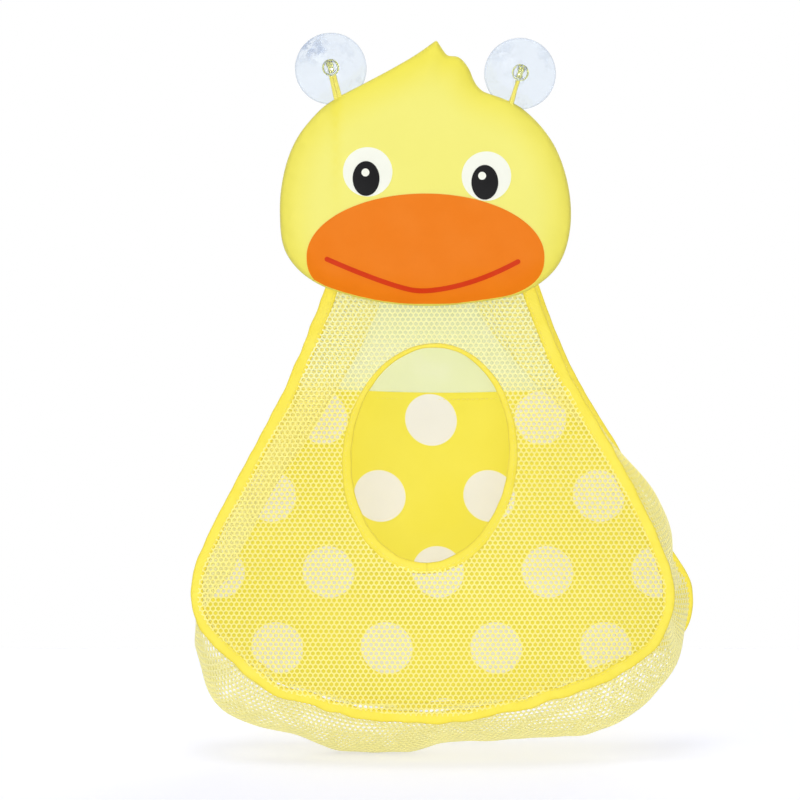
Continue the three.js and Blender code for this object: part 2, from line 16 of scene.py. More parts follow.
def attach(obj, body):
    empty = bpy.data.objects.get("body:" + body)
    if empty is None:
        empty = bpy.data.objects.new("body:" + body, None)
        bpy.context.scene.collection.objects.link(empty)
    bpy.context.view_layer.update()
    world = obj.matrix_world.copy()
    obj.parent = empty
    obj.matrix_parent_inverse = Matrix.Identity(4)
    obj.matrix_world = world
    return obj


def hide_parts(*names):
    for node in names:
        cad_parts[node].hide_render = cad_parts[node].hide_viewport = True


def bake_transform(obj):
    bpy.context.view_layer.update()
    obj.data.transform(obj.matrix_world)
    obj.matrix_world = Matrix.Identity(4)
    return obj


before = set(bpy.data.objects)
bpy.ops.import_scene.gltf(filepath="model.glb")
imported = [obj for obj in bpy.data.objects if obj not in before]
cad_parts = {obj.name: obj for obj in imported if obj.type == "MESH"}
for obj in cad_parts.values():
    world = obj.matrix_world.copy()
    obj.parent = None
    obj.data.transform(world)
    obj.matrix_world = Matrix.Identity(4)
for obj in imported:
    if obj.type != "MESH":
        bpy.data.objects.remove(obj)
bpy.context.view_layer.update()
MM = 0.001

# %% [markdown]
# ## Camera
# The photograph is a straight front view with hardly any perspective, as from a long lens. A lens
# six metres away shows 504 mm across the frame, and no lens shift is needed.

# %% Long lens, square on
LENS_AWAY, FRAME_WIDTH = 6.0, 0.504
FRAME_MIDDLE = Vector((-0.0161, -0.03, -0.2082))
lens = bpy.data.cameras.new("long_lens")
lens.sensor_width = 36
lens.lens = lens.sensor_width * LENS_AWAY / FRAME_WIDTH
lens.clip_end = 60
camera = bpy.data.objects.new("long_lens", lens)
camera.location = FRAME_MIDDLE - Vector((0, LENS_AWAY, 0))
camera.rotation_euler = (math.pi / 2, 0, 0)
bpy.context.collection.objects.link(camera)
bpy.context.scene.camera = camera
print("lens", round(lens.lens), "mm")

# %% [markdown]
# ## Lines that the pattern cutter draws
# The maker's paper patterns are smooth curves through a few marked points. The same curve is used
# for every outline here: it passes through each mark and is cut into equal steps.

# %% Smooth outlines
def span(start, end, leave, arrive, t):
    """A cubic from start to end that leaves and arrives at the given speeds."""
    return ((2 * start - 2 * end + leave + arrive) * t**3
            + (-3 * start + 3 * end - 2 * leave - arrive) * t**2 + leave * t + start)


def lengths_along(line):
    return np.concatenate([[0], np.cumsum(np.linalg.norm(np.diff(line, axis=0), axis=1))])


def at_length(goal, along, line):
    """The point, or points, of a line at the given lengths along it."""
    return np.stack([np.interp(goal, along, column) for column in line.T], axis=-1)


def even_steps(line, steps):
    along = lengths_along(line)
    return at_length(np.linspace(0, along[-1], steps + 1), along, line)


def smooth(marks, steps):
    """Equal steps along an even spline through the marks."""
    p = np.asarray(marks, float)
    p = np.vstack([p[:1], p, p[-1:]])
    t = np.linspace(0, 1, 40, endpoint=False)[:, None]
    runs = [span(b, c, (c - a) / 2, (d - b) / 2, t) for a, b, c, d in zip(p, p[1:], p[2:], p[3:])]
    return even_steps(np.vstack(runs + [p[-1:]]), steps)


# %% The head's outline
HEAD_TIP = (7, 19.2)
TUFT_LEFT = [(-6, 10), (-20.5, 1.5), (-36, -6.8), (-55, -16.6)]
HEAD_ROUND = [(-67, -25.3), (-81, -42.5), (-89, -63), (-92, -88), (-88.2, -115), (-69.5, -134), (-36, -145),
              (0, -148.8), (34, -146.2), (63, -139.8), (83.2, -124), (91.4, -100), (90, -72), (80, -45),
              (60.5, -23.6)]
TUFT_RIGHT = [(36.5, -13.4), (32.8, -10), (30.2, -5.6), (27, 1.8), (21.2, 8.3), (14.4, 9.3), (11.8, 11.8)]
head_line = np.vstack([
    smooth([HEAD_TIP, *TUFT_LEFT], 26)[:-1],
    smooth([TUFT_LEFT[-1], *HEAD_ROUND, TUFT_RIGHT[0]], 170)[:-1],
    smooth([*TUFT_RIGHT, HEAD_TIP], 26)[:-1],
])
print("head outline:", len(head_line), "points")

# %% [markdown]
# ## Shader sums
# Finishes are written as sums: a wire is one node socket, and adding, multiplying or subtracting
# wires adds the Math nodes. Every other node comes from the one method `add`, in a finish as in the
# room, so a finish reads like a recipe and no node is placed by hand.

# %% Wires
class Wire:
    """One output socket that can be used in a sum."""

    def __init__(self, home, socket):
        self.home, self.socket = home, socket

    def math(self, operation, first, second=0.0):
        return self.home.add("ShaderNodeMath", {"operation": operation}, {0: first, 1: second})

    def __add__(self, other):
        return self.math("ADD", self, other)

    def __sub__(self, other):
        return self.math("SUBTRACT", self, other)

    def __rsub__(self, other):
        return self.math("SUBTRACT", other, self)

    def __mul__(self, other):
        return self.math("MULTIPLY", self, other)

    def __pow__(self, other):
        return self.math("POWER", self, other)

    __radd__, __rmul__ = __add__, __mul__

    def sine(self, pitch):
        """One wave from -1 to 1 for each pitch."""
        return self.math("SINE", self * (2 * math.pi / pitch))

    def wave(self, pitch):
        """One wave from 0 to 1 for each pitch."""
        return self.sine(pitch) * 0.5 + 0.5

    def lower_of(self, other):
        return self.math("MINIMUM", self, other)

    def there_and_back(self, span):
        return self.math("PINGPONG", self, span)

    def step(self, low, high):
        """0 below low, 1 above high, eased between."""
        return self.home.add("ShaderNodeMapRange", {"interpolation_type": "SMOOTHSTEP"},
                             {"Value": self, "From Min": low, "From Max": high})


print("wires ready")

# %% Nodes and finishes
class Nodes:
    """A node tree, and the one way in which nodes come into it."""

    def __init__(self, tree):
        self.tree = tree

    def feed(self, node, sockets):
        for key, value in sockets.items():
            name = key.replace("_", " ") if isinstance(key, str) else key
            if isinstance(value, Wire):
                self.tree.links.new(value.socket, node.inputs[name])
            else:
                node.inputs[name].default_value = value

    def add(self, kind, settings=None, sockets=None, out=0):
        node = self.tree.nodes.new(kind)
        for name, value in (settings or {}).items():
            setattr(node, name, value)
        self.feed(node, sockets or {})
        return Wire(self, node.outputs[out])

    def seen_directly(self):
        """1 for rays from the lens, gloss and clear plastic, 0 for light that bounces about."""
        lens_ray, gloss_ray, clear_ray = [self.add("ShaderNodeLightPath", None, None, f"Is {ray} Ray")
                                          for ray in ("Camera", "Glossy", "Transmission")]
        return (lens_ray + gloss_ray + clear_ray).lower_of(1.0)


class Finish(Nodes):
    """One material: its Principled shader and the nodes that feed it."""

    def __init__(self, name, **values):
        self.material = bpy.data.materials.new(name)
        self.material.use_nodes = True
        super().__init__(self.material.node_tree)
        self.shader = self.tree.nodes["Principled BSDF"]
        self.main = Wire(self, self.shader.outputs[0])
        self.set(**values)

    def set(self, **sockets):
        self.feed(self.shader, sockets)

    def show(self, surface):
        self.feed(self.tree.nodes["Material Output"], {"Surface": surface})

    def spot(self):
        """Where a point of the surface is on the object, in millimetres: a vector, and its x, y and z."""
        here = self.add("ShaderNodeTexCoord", out="Object")
        scaled = self.add("ShaderNodeVectorMath", {"operation": "SCALE"}, {0: here, "Scale": 1 / MM})
        split = self.add("ShaderNodeSeparateXYZ", None, {0: scaled})
        return scaled, [Wire(self, socket) for socket in split.socket.node.outputs]

    def clouds(self, place, per_mm, detail=2.0):
        return self.add("ShaderNodeTexNoise", {"noise_dimensions": "3D"},
                        {"Vector": place, "Scale": per_mm, "Detail": detail})

    def weave(self, x, z, pitch):
        """Threads that cross over and under, from 0 to 1."""
        return (x.sine(pitch) * z.sine(pitch)) * 0.5 + 0.5

    def mix(self, share, first, second):
        return self.add("ShaderNodeMix", {"data_type": "RGBA"}, {0: share, 6: first, 7: second}, out=2)

    def drawn(self, name):
        """A value that was written on the mesh, such as how near its edge a point is."""
        return self.add("ShaderNodeAttribute", {"attribute_name": name}, None, "Fac")

    def bump(self, height, depth_mm, strength=1.0):
        self.set(Normal=self.add("ShaderNodeBump", None,
                                 {"Height": height, "Distance": depth_mm * MM, "Strength": strength}))


def paint(red, green, blue):
    """A colour as a paint chart gives it, 0 to 255, in Blender's linear light."""
    to_linear = lambda c: c / 12.92 if c <= 0.04045 else ((c + 0.055) / 1.055) ** 2.4
    return (*[to_linear(c / 255) for c in (red, green, blue)], 1.0)


print("finishes ready")

# %% [markdown]
# ## From points to pieces
# A piece is a mesh from plain lists of points and faces. Each one is put on the body that carries
# it, takes its finish, and hides the imported solid that it stands for.

# %% Pieces
def piece_of(name, points, faces, is_smooth=True):
    mesh = bpy.data.meshes.new(name)
    mesh.from_pydata((np.asarray(points, float) * MM).tolist(), [], faces)
    mesh.polygons.foreach_set("use_smooth", [is_smooth] * len(mesh.polygons))
    mesh.update()
    piece = bpy.data.objects.new(name, mesh)
    bpy.context.collection.objects.link(piece)
    return piece


def stood_up(flat, y):
    """Points of a flat outline, which are x and z, with their y."""
    return np.stack([flat[:, 0], np.broadcast_to(y, len(flat)), flat[:, 1]], 1)


def write_on(piece, name, values):
    mark = piece.data.attributes.new(name, "FLOAT", "POINT")
    mark.data.foreach_set("value", np.asarray(values, np.float32))


def settle(piece):
    """Turns a piece's modifiers into plain mesh."""
    seen = piece.evaluated_get(bpy.context.evaluated_depsgraph_get())
    piece.data = bpy.data.meshes.new_from_object(seen)
    piece.modifiers.clear()
    return piece


def thicken(piece, thickness, offset=0.0):
    ply = piece.modifiers.new("ply", "SOLIDIFY")
    ply.thickness, ply.offset = thickness * MM, offset
    ply.use_even_offset = True
    settle(piece)
    piece.data.set_sharp_from_angle(angle=math.radians(40))
    return piece


def tube_faces(rings, sides, first=0, inside_out=False):
    """Quads between rings of points that follow each other, and a lid on both ends."""
    faces = []
    for a in range(first, first + (rings - 1) * sides, sides):
        b = a + sides
        for j in range(sides):
            k = (j + 1) % sides
            faces.append((a + j, b + j, b + k, a + k) if inside_out else (a + j, a + k, b + k, b + j))
    last = first + (rings - 1) * sides
    lids = [tuple(range(first, first + sides)), tuple(range(last, last + sides))]
    turned_lid = int(inside_out)
    lids[turned_lid] = lids[turned_lid][::-1]
    return faces + lids


def dress(piece, finish, slot, *nodes, body="bag"):
    piece.data.materials.clear()
    piece.data.materials.append(finish.material)
    if nodes:
        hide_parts(*nodes)
    if body:
        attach(piece, body)
    print(piece.name, len(piece.data.polygons), "faces")
    return piece


print("pieces can be made")

# %% [markdown]
# ## Hanging loops
# Each loop is a thin braided cord whose two ends are caught in the head's seam. Its bight is pushed
# up through the hole in the cup's neck and pulled down round the neck, a girth hitch. The pull makes
# the cord thinner in the hitch, and it spreads towards the seam. A curve with a round bevel would
# also do; a tube of our own keeps the braid's place along the cord for the finish.

# %% Cord finish
cord_finish = Finish("braided_cord", Roughness=0.62, Sheen_Weight=0.25)
braid = cord_finish.drawn("along_cord")
twist = cord_finish.drawn("round_cord")
strands = (twist - braid.sine(1.3)) * 0.5 + 0.5
cord_finish.set(Base_Color=cord_finish.mix(strands, paint(242, 230, 92), paint(252, 243, 130)))
cord_finish.bump(strands, 0.25)
print("cord finish: strands that cross every 1.3 mm")

# %% Route of a girth hitch
CORD = 2.2
HITCH_RADIUS, HITCH_AWAY, HOLE_AWAY, NECK_RADIUS = 4.5, 15.95, 13.55, 3.6


def through(marks, per_span):
    """A curve through marks of uneven spacing, without overshoot."""
    p = np.asarray(marks, float)
    p = np.vstack([2 * p[0] - p[1], p, 2 * p[-1] - p[-2]])
    gaps = np.sqrt(np.linalg.norm(np.diff(p, axis=0), axis=1))
    t = np.linspace(0, 1, per_span, endpoint=False)[:, None]
    runs = []
    for i in range(1, len(p) - 2):
        a, b, c, d = p[i - 1:i + 3]
        before, here, after = gaps[i - 1:i + 2]
        leave = ((b - a) / before - (c - a) / (before + here) + (c - b) / here) * here
        arrive = ((c - b) / here - (d - b) / (here + after) + (d - c) / after) * here
        runs.append(span(b, c, leave, arrive, t))
    return np.vstack(runs + [p[-2:-1]])


def loop_route(reach, spread, foot_turn, top_turn):
    """Both legs and the hitch, as seen by a cup at the origin whose loop hangs straight down."""
    half = CORD / 2
    foot, top = np.radians(foot_turn), np.radians(top_turn)
    rise = [(spread / 2 * math.cos(foot), HOLE_AWAY + spread / 2 * math.sin(foot), -reach),
            (half * math.cos(top), HOLE_AWAY + half * math.sin(top), -HITCH_RADIUS - CORD),
            (half, HOLE_AWAY, 0), (half, HOLE_AWAY, NECK_RADIUS),
            (half + 0.25 * CORD, HOLE_AWAY + 0.35 * CORD, HITCH_RADIUS),
            (half + 0.9 * CORD, HOLE_AWAY + CORD, 0.78 * HITCH_RADIUS)]
    rise += [(HITCH_RADIUS * math.cos(t), HITCH_AWAY, -HITCH_RADIUS * math.sin(t))
             for t in np.radians([-35, 0, 45])]
    mirrored = [(-x, away, z) for x, away, z in reversed(rise)]
    for k, end in ((0, -1), (1, -2)):
        mirrored[end] = (-rise[k][0], 2 * HOLE_AWAY - rise[k][1], rise[k][2])
    marks = np.array(rise + [(0, HITCH_AWAY, -HITCH_RADIUS)] + mirrored)
    marks[:, 1] *= -1
    return even_steps(through(marks, 24), 240)


def tube(name, route, radius, sides):
    """A round tube along a route, with both ends closed. The radius may change along it."""
    ahead = np.gradient(route, axis=0)
    ahead /= np.linalg.norm(ahead, axis=1)[:, None]
    across = np.cross(ahead[0], (0, 0.3, 1.0))
    turns = np.arange(sides) * 2 * math.pi / sides
    points = []
    for here, way, reach in zip(route, ahead, np.broadcast_to(radius, len(route))):
        across = across - way * across.dot(way)
        across /= np.linalg.norm(across)
        up = np.cross(way, across)
        points += [here + reach * (math.cos(t) * across + math.sin(t) * up) for t in turns]
    piece = piece_of(name, points, tube_faces(len(route), sides))
    write_on(piece, "along_cord", np.repeat(lengths_along(route), sides))
    write_on(piece, "round_cord", np.tile(np.cos(4 * turns), len(route)))
    return piece


print("cord", CORD, "mm thick, hitched", HITCH_AWAY, "mm from the wall")

# %% Loops from head to cup
CUP_AT = {"left": (-59.9, 1.6), "right": (59.9, -1.6)}
LOOP_FOOT = {"left": (-55.4, 2.75), "right": (54.3, 2.3)}
LOOP_TURN = {"left": (0, 0), "right": (65, 85)}
SEWN_IN, BEND_FROM, BEND_TO = 5.0, 5.0, 9.0
LEG_FLARE, FLARED_TO, PLAIN_FROM = 0.3, 6, 28
HITCH_STRETCH, PLAIN_TO, STRETCHED_FROM = 0.26, 25, 30


def head_edge_height(x):
    ahead = np.roll(head_line, -1, axis=0)
    crosses = (head_line[:, 0] - x) * (ahead[:, 0] - x) <= 0
    a, b = head_line[crosses], ahead[crosses]
    return np.max(a[:, 1] + (b[:, 1] - a[:, 1]) * (x - a[:, 0]) / (b[:, 0] - a[:, 0]))


for side, (cup_x, cup_z) in CUP_AT.items():
    foot_x, spread = LOOP_FOOT[side]
    down = np.array([foot_x - cup_x, head_edge_height(foot_x) - cup_z])
    reach = np.linalg.norm(down)
    down /= reach
    local = loop_route(reach + SEWN_IN, spread, *LOOP_TURN[side])
    route = local.copy()
    route[:, 0] = cup_x - local[:, 2] * down[0] - local[:, 0] * down[1]
    route[:, 2] = cup_z - local[:, 2] * down[1] + local[:, 0] * down[0]
    along = lengths_along(route)
    loop_length = along[-1]
    to_end = np.minimum(along, loop_length - along)
    thickness = CORD * (1 + LEG_FLARE * np.interp(to_end, (FLARED_TO, PLAIN_FROM), (1, 0))
                        - HITCH_STRETCH * np.interp(to_end, (PLAIN_TO, STRETCHED_FROM), (0, 1)))
    loop = tube(f"hanging_loop_cord_{side}", route, thickness / 2, 16)
    dress(loop, cord_finish, "cord", f"hanging_loop_{side}", body=None)
    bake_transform(loop)
    print("loop", side, round(loop_length, 1), "mm of cord")

# %% [markdown]
# ## Suction cups
# Each cup is one clear PVC moulding: a bell with a thin sealing lip, a neck with a cross hole and a
# mushroom knob. The imported solid has few sides, so a finer one is turned from the same profile and
# drilled. Clear plastic shows the white room behind it, a little bluer; glancing edges and the lip
# are painted grey as shade, and a grey patch on the upper left is a painted reflection.

# %% Clear PVC
pvc = Finish("clear_pvc", Base_Color=paint(240, 247, 254), Roughness=0.06, IOR=1.36,
             Transmission_Weight=1.0)
# An opaque grey-blue finish mixed into the clear one: painted shade on glancing edges and along the lip, the
# painted reflection patch, and the real flow marks of the moulding.
flow_marks_and_edge_shade = pvc.add("ShaderNodeBsdfPrincipled", None,
                    {"Base Color": paint(188, 201, 224), "Roughness": 0.25})
glancing = pvc.add("ShaderNodeLayerWeight", None, {"Blend": 0.35}, out="Facing")
place, _ = pvc.spot()
flow_marks = pvc.clouds(place, 0.11, 3.0).step(0.54, 0.72)
# A soft grey patch on the cup's upper left is a painted reflection, strongest on the left cup.
painted_reflection = pvc.drawn("painted_reflection") * pvc.clouds(place, 0.22, 3.0).step(0.38, 0.6)
shown = (glancing ** 2.4) * 0.3 + flow_marks * 0.12 + painted_reflection * 0.62 + pvc.drawn("rim") * 0.16 + 0.06
pvc.bump(pvc.clouds(place, 0.25, 1.0), 0.25)
pvc.show(pvc.add("ShaderNodeMixShader", None, {0: shown, 1: pvc.main, 2: flow_marks_and_edge_shade}))
print("clear plastic with edges, flow marks and haze")

# %% Turning a profile
CUP_RADIUS, DRILL_RADIUS = 22.7, 2.25


def cup_profile():
    """Distance from the middle and from the wall, from the hollow's middle out and up to the knob."""
    bell = lambda r, edge, height: height * (1 - (r / edge) ** 1.8)
    inside = [(r, bell(r, 21.0, 8.2)) for r in np.linspace(0, 20.6, 20)]
    lip = [(21.0, 0.03), (21.3, 0.0), (22.4, 0.0), (22.65, 0.2), (22.7, 0.6), (22.6, 0.95)]
    outside = [(r, 0.9 + bell(r, CUP_RADIUS, 10.1)) for r in np.linspace(22.2, 4.6, 20)]
    neck = [(4.0, 10.85), (3.65, 11.3), (3.6, 12.0), (3.6, 16.0), (3.7, 16.85), (4.1, 17.15)]
    knob = [(4.9, 17.15), (5.3, 17.35), (5.4, 17.85), (5.35, 18.65), (4.9, 19.3), (3.9, 19.85), (2.2, 20.1)]
    return inside + lip + outside + neck + knob + [(0, 20.15)]


def turned(name, profile, sides):
    points = [(0, -profile[0][1], 0)]
    turns = np.arange(sides) * 2 * math.pi / sides
    for r, away in profile[1:-1]:
        points += [(r * math.cos(t), -away, r * math.sin(t)) for t in turns]
    points.append((0, -profile[-1][1], 0))
    faces = []
    rings = len(profile) - 2
    for j in range(sides):
        k = (j + 1) % sides
        faces.append((0, 1 + j, 1 + k))
        for i in range(rings - 1):
            a, b = 1 + i * sides, 1 + (i + 1) * sides
            faces.append((a + j, b + j, b + k, a + k))
        faces.append((1 + (rings - 1) * sides + j, len(points) - 1, 1 + (rings - 1) * sides + k))
    return piece_of(name, points, faces)


print("cup profile:", len(cup_profile()), "points")

# %% Drilling and setting the cups
# Strength, place, size and squash of each cup's painted reflection.
PAINTED_REFLECTION = {"left": 1.0, "right": 0.25}
PAINTED_REFLECTION_AT, PAINTED_REFLECTION_SIZE, PAINTED_REFLECTION_FLAT = (-12, 13.6), 8.5, 1.2
RIM_FROM, RIM_WIDTH = 21.2, 1.2
drill_route = np.array([(0, -HOLE_AWAY, z) for z in np.linspace(-9, 9, 5)])
for side, (cup_x, cup_z) in CUP_AT.items():
    cup = turned(f"clear_cup_{side}", cup_profile(), 96)
    drill = tube("drill", drill_route, DRILL_RADIUS, 40)
    cut = cup.modifiers.new("hole", "BOOLEAN")
    cut.object, cut.operation, cut.solver = drill, "DIFFERENCE", "EXACT"
    settle(cup)
    bpy.data.objects.remove(drill)
    foot_x = LOOP_FOOT[side][0]
    lean = math.atan2(cup_x - foot_x, cup_z - head_edge_height(foot_x))
    for vertex in cup.data.vertices:
        x, y, z = vertex.co
        vertex.co = (x * math.cos(lean) + z * math.sin(lean) + cup_x * MM, y,
                     z * math.cos(lean) - x * math.sin(lean) + cup_z * MM)
    right, up = np.array([(v.co.x / MM - cup_x, v.co.z / MM - cup_z) for v in cup.data.vertices]).T
    from_painted_reflection = np.hypot(right - PAINTED_REFLECTION_AT[0], (up - PAINTED_REFLECTION_AT[1]) * PAINTED_REFLECTION_FLAT)
    # A painted grey line of shade along the lip, where the clear edge would look dark.
    write_on(cup, "rim", np.clip((np.hypot(right, up) - RIM_FROM) / RIM_WIDTH, 0, 1))
    write_on(cup, "painted_reflection", PAINTED_REFLECTION[side] * np.exp(-((from_painted_reflection / PAINTED_REFLECTION_SIZE) ** 2)))
    dress(cup, pvc, "clear_pvc", f"suction_cup_{side}", body="wall_cups")

# %% [markdown]
# ## Head cover
# The head is two plies of light polyester sewn right sides together, turned out and filled with
# thin foam. A voxel remesh would eat its thin rim, so the cover starts as a fine triangle mesh that
# is already a little crowned. Air pressure in a short cloth run then fills it out and lets the ply
# pucker beside the seam, and no point may move more than a few millimetres.

# %% Filling an outline with even triangles
def edge_distance(points, line):
    a, b = line, np.roll(line, -1, axis=0)
    run = b - a
    rel = points[:, None, :] - a[None]
    share = np.clip((rel * run).sum(2) / (run**2).sum(1), 0, 1)
    return np.linalg.norm(rel - share[..., None] * run, axis=2).min(1)


def is_inside(points, line):
    a, b = line, np.roll(line, -1, axis=0)
    x, z = points[:, :1], points[:, 1:]
    spans = (a[:, 1] > z) != (b[:, 1] > z)
    with np.errstate(divide="ignore", invalid="ignore"):
        cross_x = a[:, 0] + (z - a[:, 1]) * (b[:, 0] - a[:, 0]) / (b[:, 1] - a[:, 1])
    return (spans & (x < cross_x)).sum(1) % 2 == 1


def fill(line, spacing, insets=()):
    """Points and triangles inside an outline. The outline's own points come first."""
    low, high = line.min(0), line.max(0)
    rows = np.arange(low[1], high[1], spacing * 0.866)
    grid = np.array([(x + (i % 2) * spacing / 2, z) for i, z in enumerate(rows)
                     for x in np.arange(low[0], high[0], spacing)])
    along = np.roll(line, -1, axis=0) - np.roll(line, 1, axis=0)
    inward = np.stack([-along[:, 1], along[:, 0]], 1) / np.linalg.norm(along, axis=1)[:, None]
    if not is_inside(line[:1] + inward[:1], line)[0]:
        inward = -inward
    sets, margin = [], 0.6 * spacing
    for step in insets:
        ring = line + inward * step
        sets.append(ring[is_inside(ring, line) & (edge_distance(ring, line) > 0.93 * step)])
        margin = step + 0.6 * spacing
    sets.append(grid[is_inside(grid, line) & (edge_distance(grid, line) > margin)])
    points = np.vstack([line, *sets])
    n = len(line)
    loop = [(i, (i + 1) % n) for i in range(n)]
    out = geometry.delaunay_2d_cdt([Vector(p) for p in points], loop, [], 1, 1e-4)
    return np.array([tuple(v) for v in out[0]]), [tuple(f) for f in out[2]]


def crown(distance, width):
    slope = 1 - np.minimum(1, distance / width)
    return np.sqrt(1 - slope * slope)


head_flat, head_faces = fill(head_line, 4.4, (1.1, 2.8))
head_in = edge_distance(head_flat, head_line)
head_in[:len(head_line)] = 0
print("head cover:", len(head_flat), "points a side")

# %% Pillow from two plies
SEAM_AWAY, FRONT_RISE, BACK_RISE, SHOULDER = 13.55, 7.6, 3.2, 16.0
CREASE_X, CREASE_WIDTH, CREASE_LOW, CREASE_FADE = -56.4, 2.6, -95, 40


def pillow(name, flat, faces, rim_count, front, back):
    """Two plies that share their rim points; front and back are distances from the wall."""
    inner = np.arange(rim_count, len(flat))
    lower = np.arange(len(flat))
    lower[inner] = len(flat) + np.arange(len(inner))
    points = np.vstack([stood_up(flat, -front), stood_up(flat[inner], -back[inner])])
    both = [tuple(f) for f in faces] + [tuple(int(lower[i]) for i in reversed(f)) for f in faces]
    return piece_of(name, points, both)


def ripple(x, z, size, seed):
    return np.array([noise.noise(Vector((a / size, b / size, seed))) for a, b in zip(x, z)])


rim_count = len(head_line)
head_x, head_z = head_flat.T
head_crown = crown(head_in, SHOULDER)
off_rim = head_in > 0
pucker = ripple(head_x, head_z, 9.0, 3.1) * np.exp(-((head_in - 4) / 5) ** 2)
soft = ripple(head_x, head_z, 42.0, 8.2)
crease = np.exp(-((head_x - CREASE_X) / CREASE_WIDTH) ** 2)
crease = crease * np.clip((head_z - CREASE_LOW) / CREASE_FADE, 0, 1)
front_away = (SEAM_AWAY + FRONT_RISE * head_crown + (0.55 * pucker + 0.35 * soft) * off_rim
              + 0.7 * crease * head_crown)
back_away = SEAM_AWAY - BACK_RISE * head_crown - 0.3 * pucker * off_rim
head = pillow("head_cover", head_flat, head_faces, rim_count, front_away, back_away)
print("head from", round(back_away.min(), 1), "to", round(front_away.max(), 1), "mm off the wall")

# %% Air in the cover
AIR_FRAMES, AIR_MOST = 20, 2.0


def fill_with_air(piece, pinned, most):
    """Swells a closed cover for some frames and softens how far each point has moved."""
    start = np.array([v.co for v in piece.data.vertices])
    rim = piece.vertex_groups.new(name="sewn_rim")
    rim.add(pinned, 1.0, "REPLACE")
    cloth = piece.modifiers.new("air", "CLOTH")
    cloth.settings.quality = 6
    cloth.settings.mass = 0.12
    cloth.settings.tension_stiffness = cloth.settings.compression_stiffness = 25
    cloth.settings.bending_stiffness = 0.6
    cloth.settings.use_pressure = True
    cloth.settings.uniform_pressure_force = 4
    cloth.settings.effector_weights.gravity = 0
    cloth.settings.vertex_group_mass = "sewn_rim"
    cloth.collision_settings.use_collision = False
    scene = bpy.context.scene
    for number in range(1, AIR_FRAMES + 1):
        scene.frame_set(number)
    settle(piece)
    scene.frame_set(1)
    piece.vertex_groups.clear()
    move = np.array([v.co for v in piece.data.vertices]) - start
    far = np.maximum(np.linalg.norm(move, axis=1), 1e-9)
    move *= (most * MM * np.tanh(far / (most * MM)) / far)[:, None]
    piece.data.vertices.foreach_set("co", (start + move).ravel())
    piece.data.update()
    moved, kept = far.max() / MM, np.abs(move).max() / MM
    print(piece.name, "moved at most", round(moved, 1), "mm, kept", round(kept, 1))


fill_with_air(head, list(range(rim_count)), AIR_MOST)
write_on(head, "from_seam", np.concatenate([head_in, head_in[rim_count:]]))
# How deep in the fold each point lies; the head's finish paints shade there.
write_on(head, "crease", np.concatenate([crease, 0 * crease[rim_count:]]))
sewn_edge = head.data.attributes.new("crease_edge", "FLOAT", "EDGE")
sewn_edge.data.foreach_set("value", [float(max(e.vertices) < rim_count) for e in head.data.edges])
finer = head.modifiers.new("finer", "SUBSURF")
finer.levels = finer.render_levels = 1
settle(head)
head.data.polygons.foreach_set("use_smooth", [True] * len(head.data.polygons))

# %% Head fabric
PLY_WEAVE = 0.75
head_fabric = Finish("head_fabric", Sheen_Weight=0.5, Sheen_Roughness=0.4, Sheen_Tint=paint(255, 244, 150))
place, (x, y, z) = head_fabric.spot()
weave = head_fabric.weave(x, z, PLY_WEAVE)
blotch = head_fabric.clouds(place, 0.03, 3.0)
# Painted shade: the cloth is painted a deeper yellow near the seam, where the cover curves away, in the fold
# under the left loop and towards the top of the head.
near_seam = 1 - head_fabric.drawn("from_seam").step(1.0, 26.0)
painted_cover_shade = near_seam * 0.75 + head_fabric.drawn("crease") * 0.5 + (z + 30).step(0, 45) * 0.35
cloth_colour = head_fabric.mix(painted_cover_shade, paint(239, 234, 120), paint(238, 227, 78))
cloth_colour = head_fabric.mix(weave * 0.12 + blotch * 0.12, cloth_colour, paint(226, 216, 92))
head_fabric.set(Base_Color=cloth_colour, Roughness=blotch * 0.2 + 0.55)
head_fabric.bump(weave + blotch * 0.8, 0.12, 0.6)
dress(head, head_fabric, "head_fabric", "head_front_panel", "head_back_panel")

# %% [markdown]
# ## Foam inside the head
# A thin sheet of foam keeps the head flat. Nobody sees it, but it is there, so it is made as a
# crowned pad a little inside the cover.

# %% Foam pad
FOAM_SHRINK, FOAM_AWAY, FOAM_FRONT, FOAM_BACK = 0.955, SEAM_AWAY + 0.6, 6.0, 2.4
foam_finish = Finish("open_foam", Roughness=0.95)
place, _ = foam_finish.spot()
cells = foam_finish.add("ShaderNodeTexVoronoi", None, {"Vector": place, "Scale": 0.9})
foam_finish.set(Base_Color=foam_finish.mix(cells, paint(214, 210, 196), paint(240, 238, 228)))
foam_finish.bump(cells, 0.3)
foam_line = even_steps(np.vstack([head_line, head_line[:1]]), 150)[:-1]
foam_middle = np.array([0.0, -70.0])
foam_line = foam_middle + (foam_line - foam_middle) * FOAM_SHRINK
foam_flat, foam_faces = fill(foam_line, 7.0, (1.5,))
foam_in = edge_distance(foam_flat, foam_line)
foam_in[:len(foam_line)] = 0
foam_crown = crown(foam_in, 14.0)
foam = pillow("head_foam", foam_flat, foam_faces, len(foam_line), FOAM_AWAY + FOAM_FRONT * foam_crown,
              FOAM_AWAY - FOAM_BACK * foam_crown)
dress(foam, foam_finish, "foam", "head_foam_insert")

# %% [markdown]
# ## Face
# The beak, smile and eyes are thin films pressed on the cover with heat. Each is cut from its own
# outline, laid on the cover point by point and given a film's thickness, one on top of another.

# %% Film finishes
def film_finish(name, colour, shade):
    finish = Finish(name, Specular_IOR_Level=0.08)
    place, (x, y, z) = finish.spot()
    cloud = finish.clouds(place, 0.05, 4.0)
    weave = finish.weave(x, z, PLY_WEAVE)
    finish.set(Base_Color=finish.mix(cloud * 0.6 + weave * 0.12, paint(*colour), paint(*shade)),
               Roughness=cloud * 0.2 + 0.38)
    finish.bump(weave + cloud * 1.5, 0.06, 0.5)
    return finish


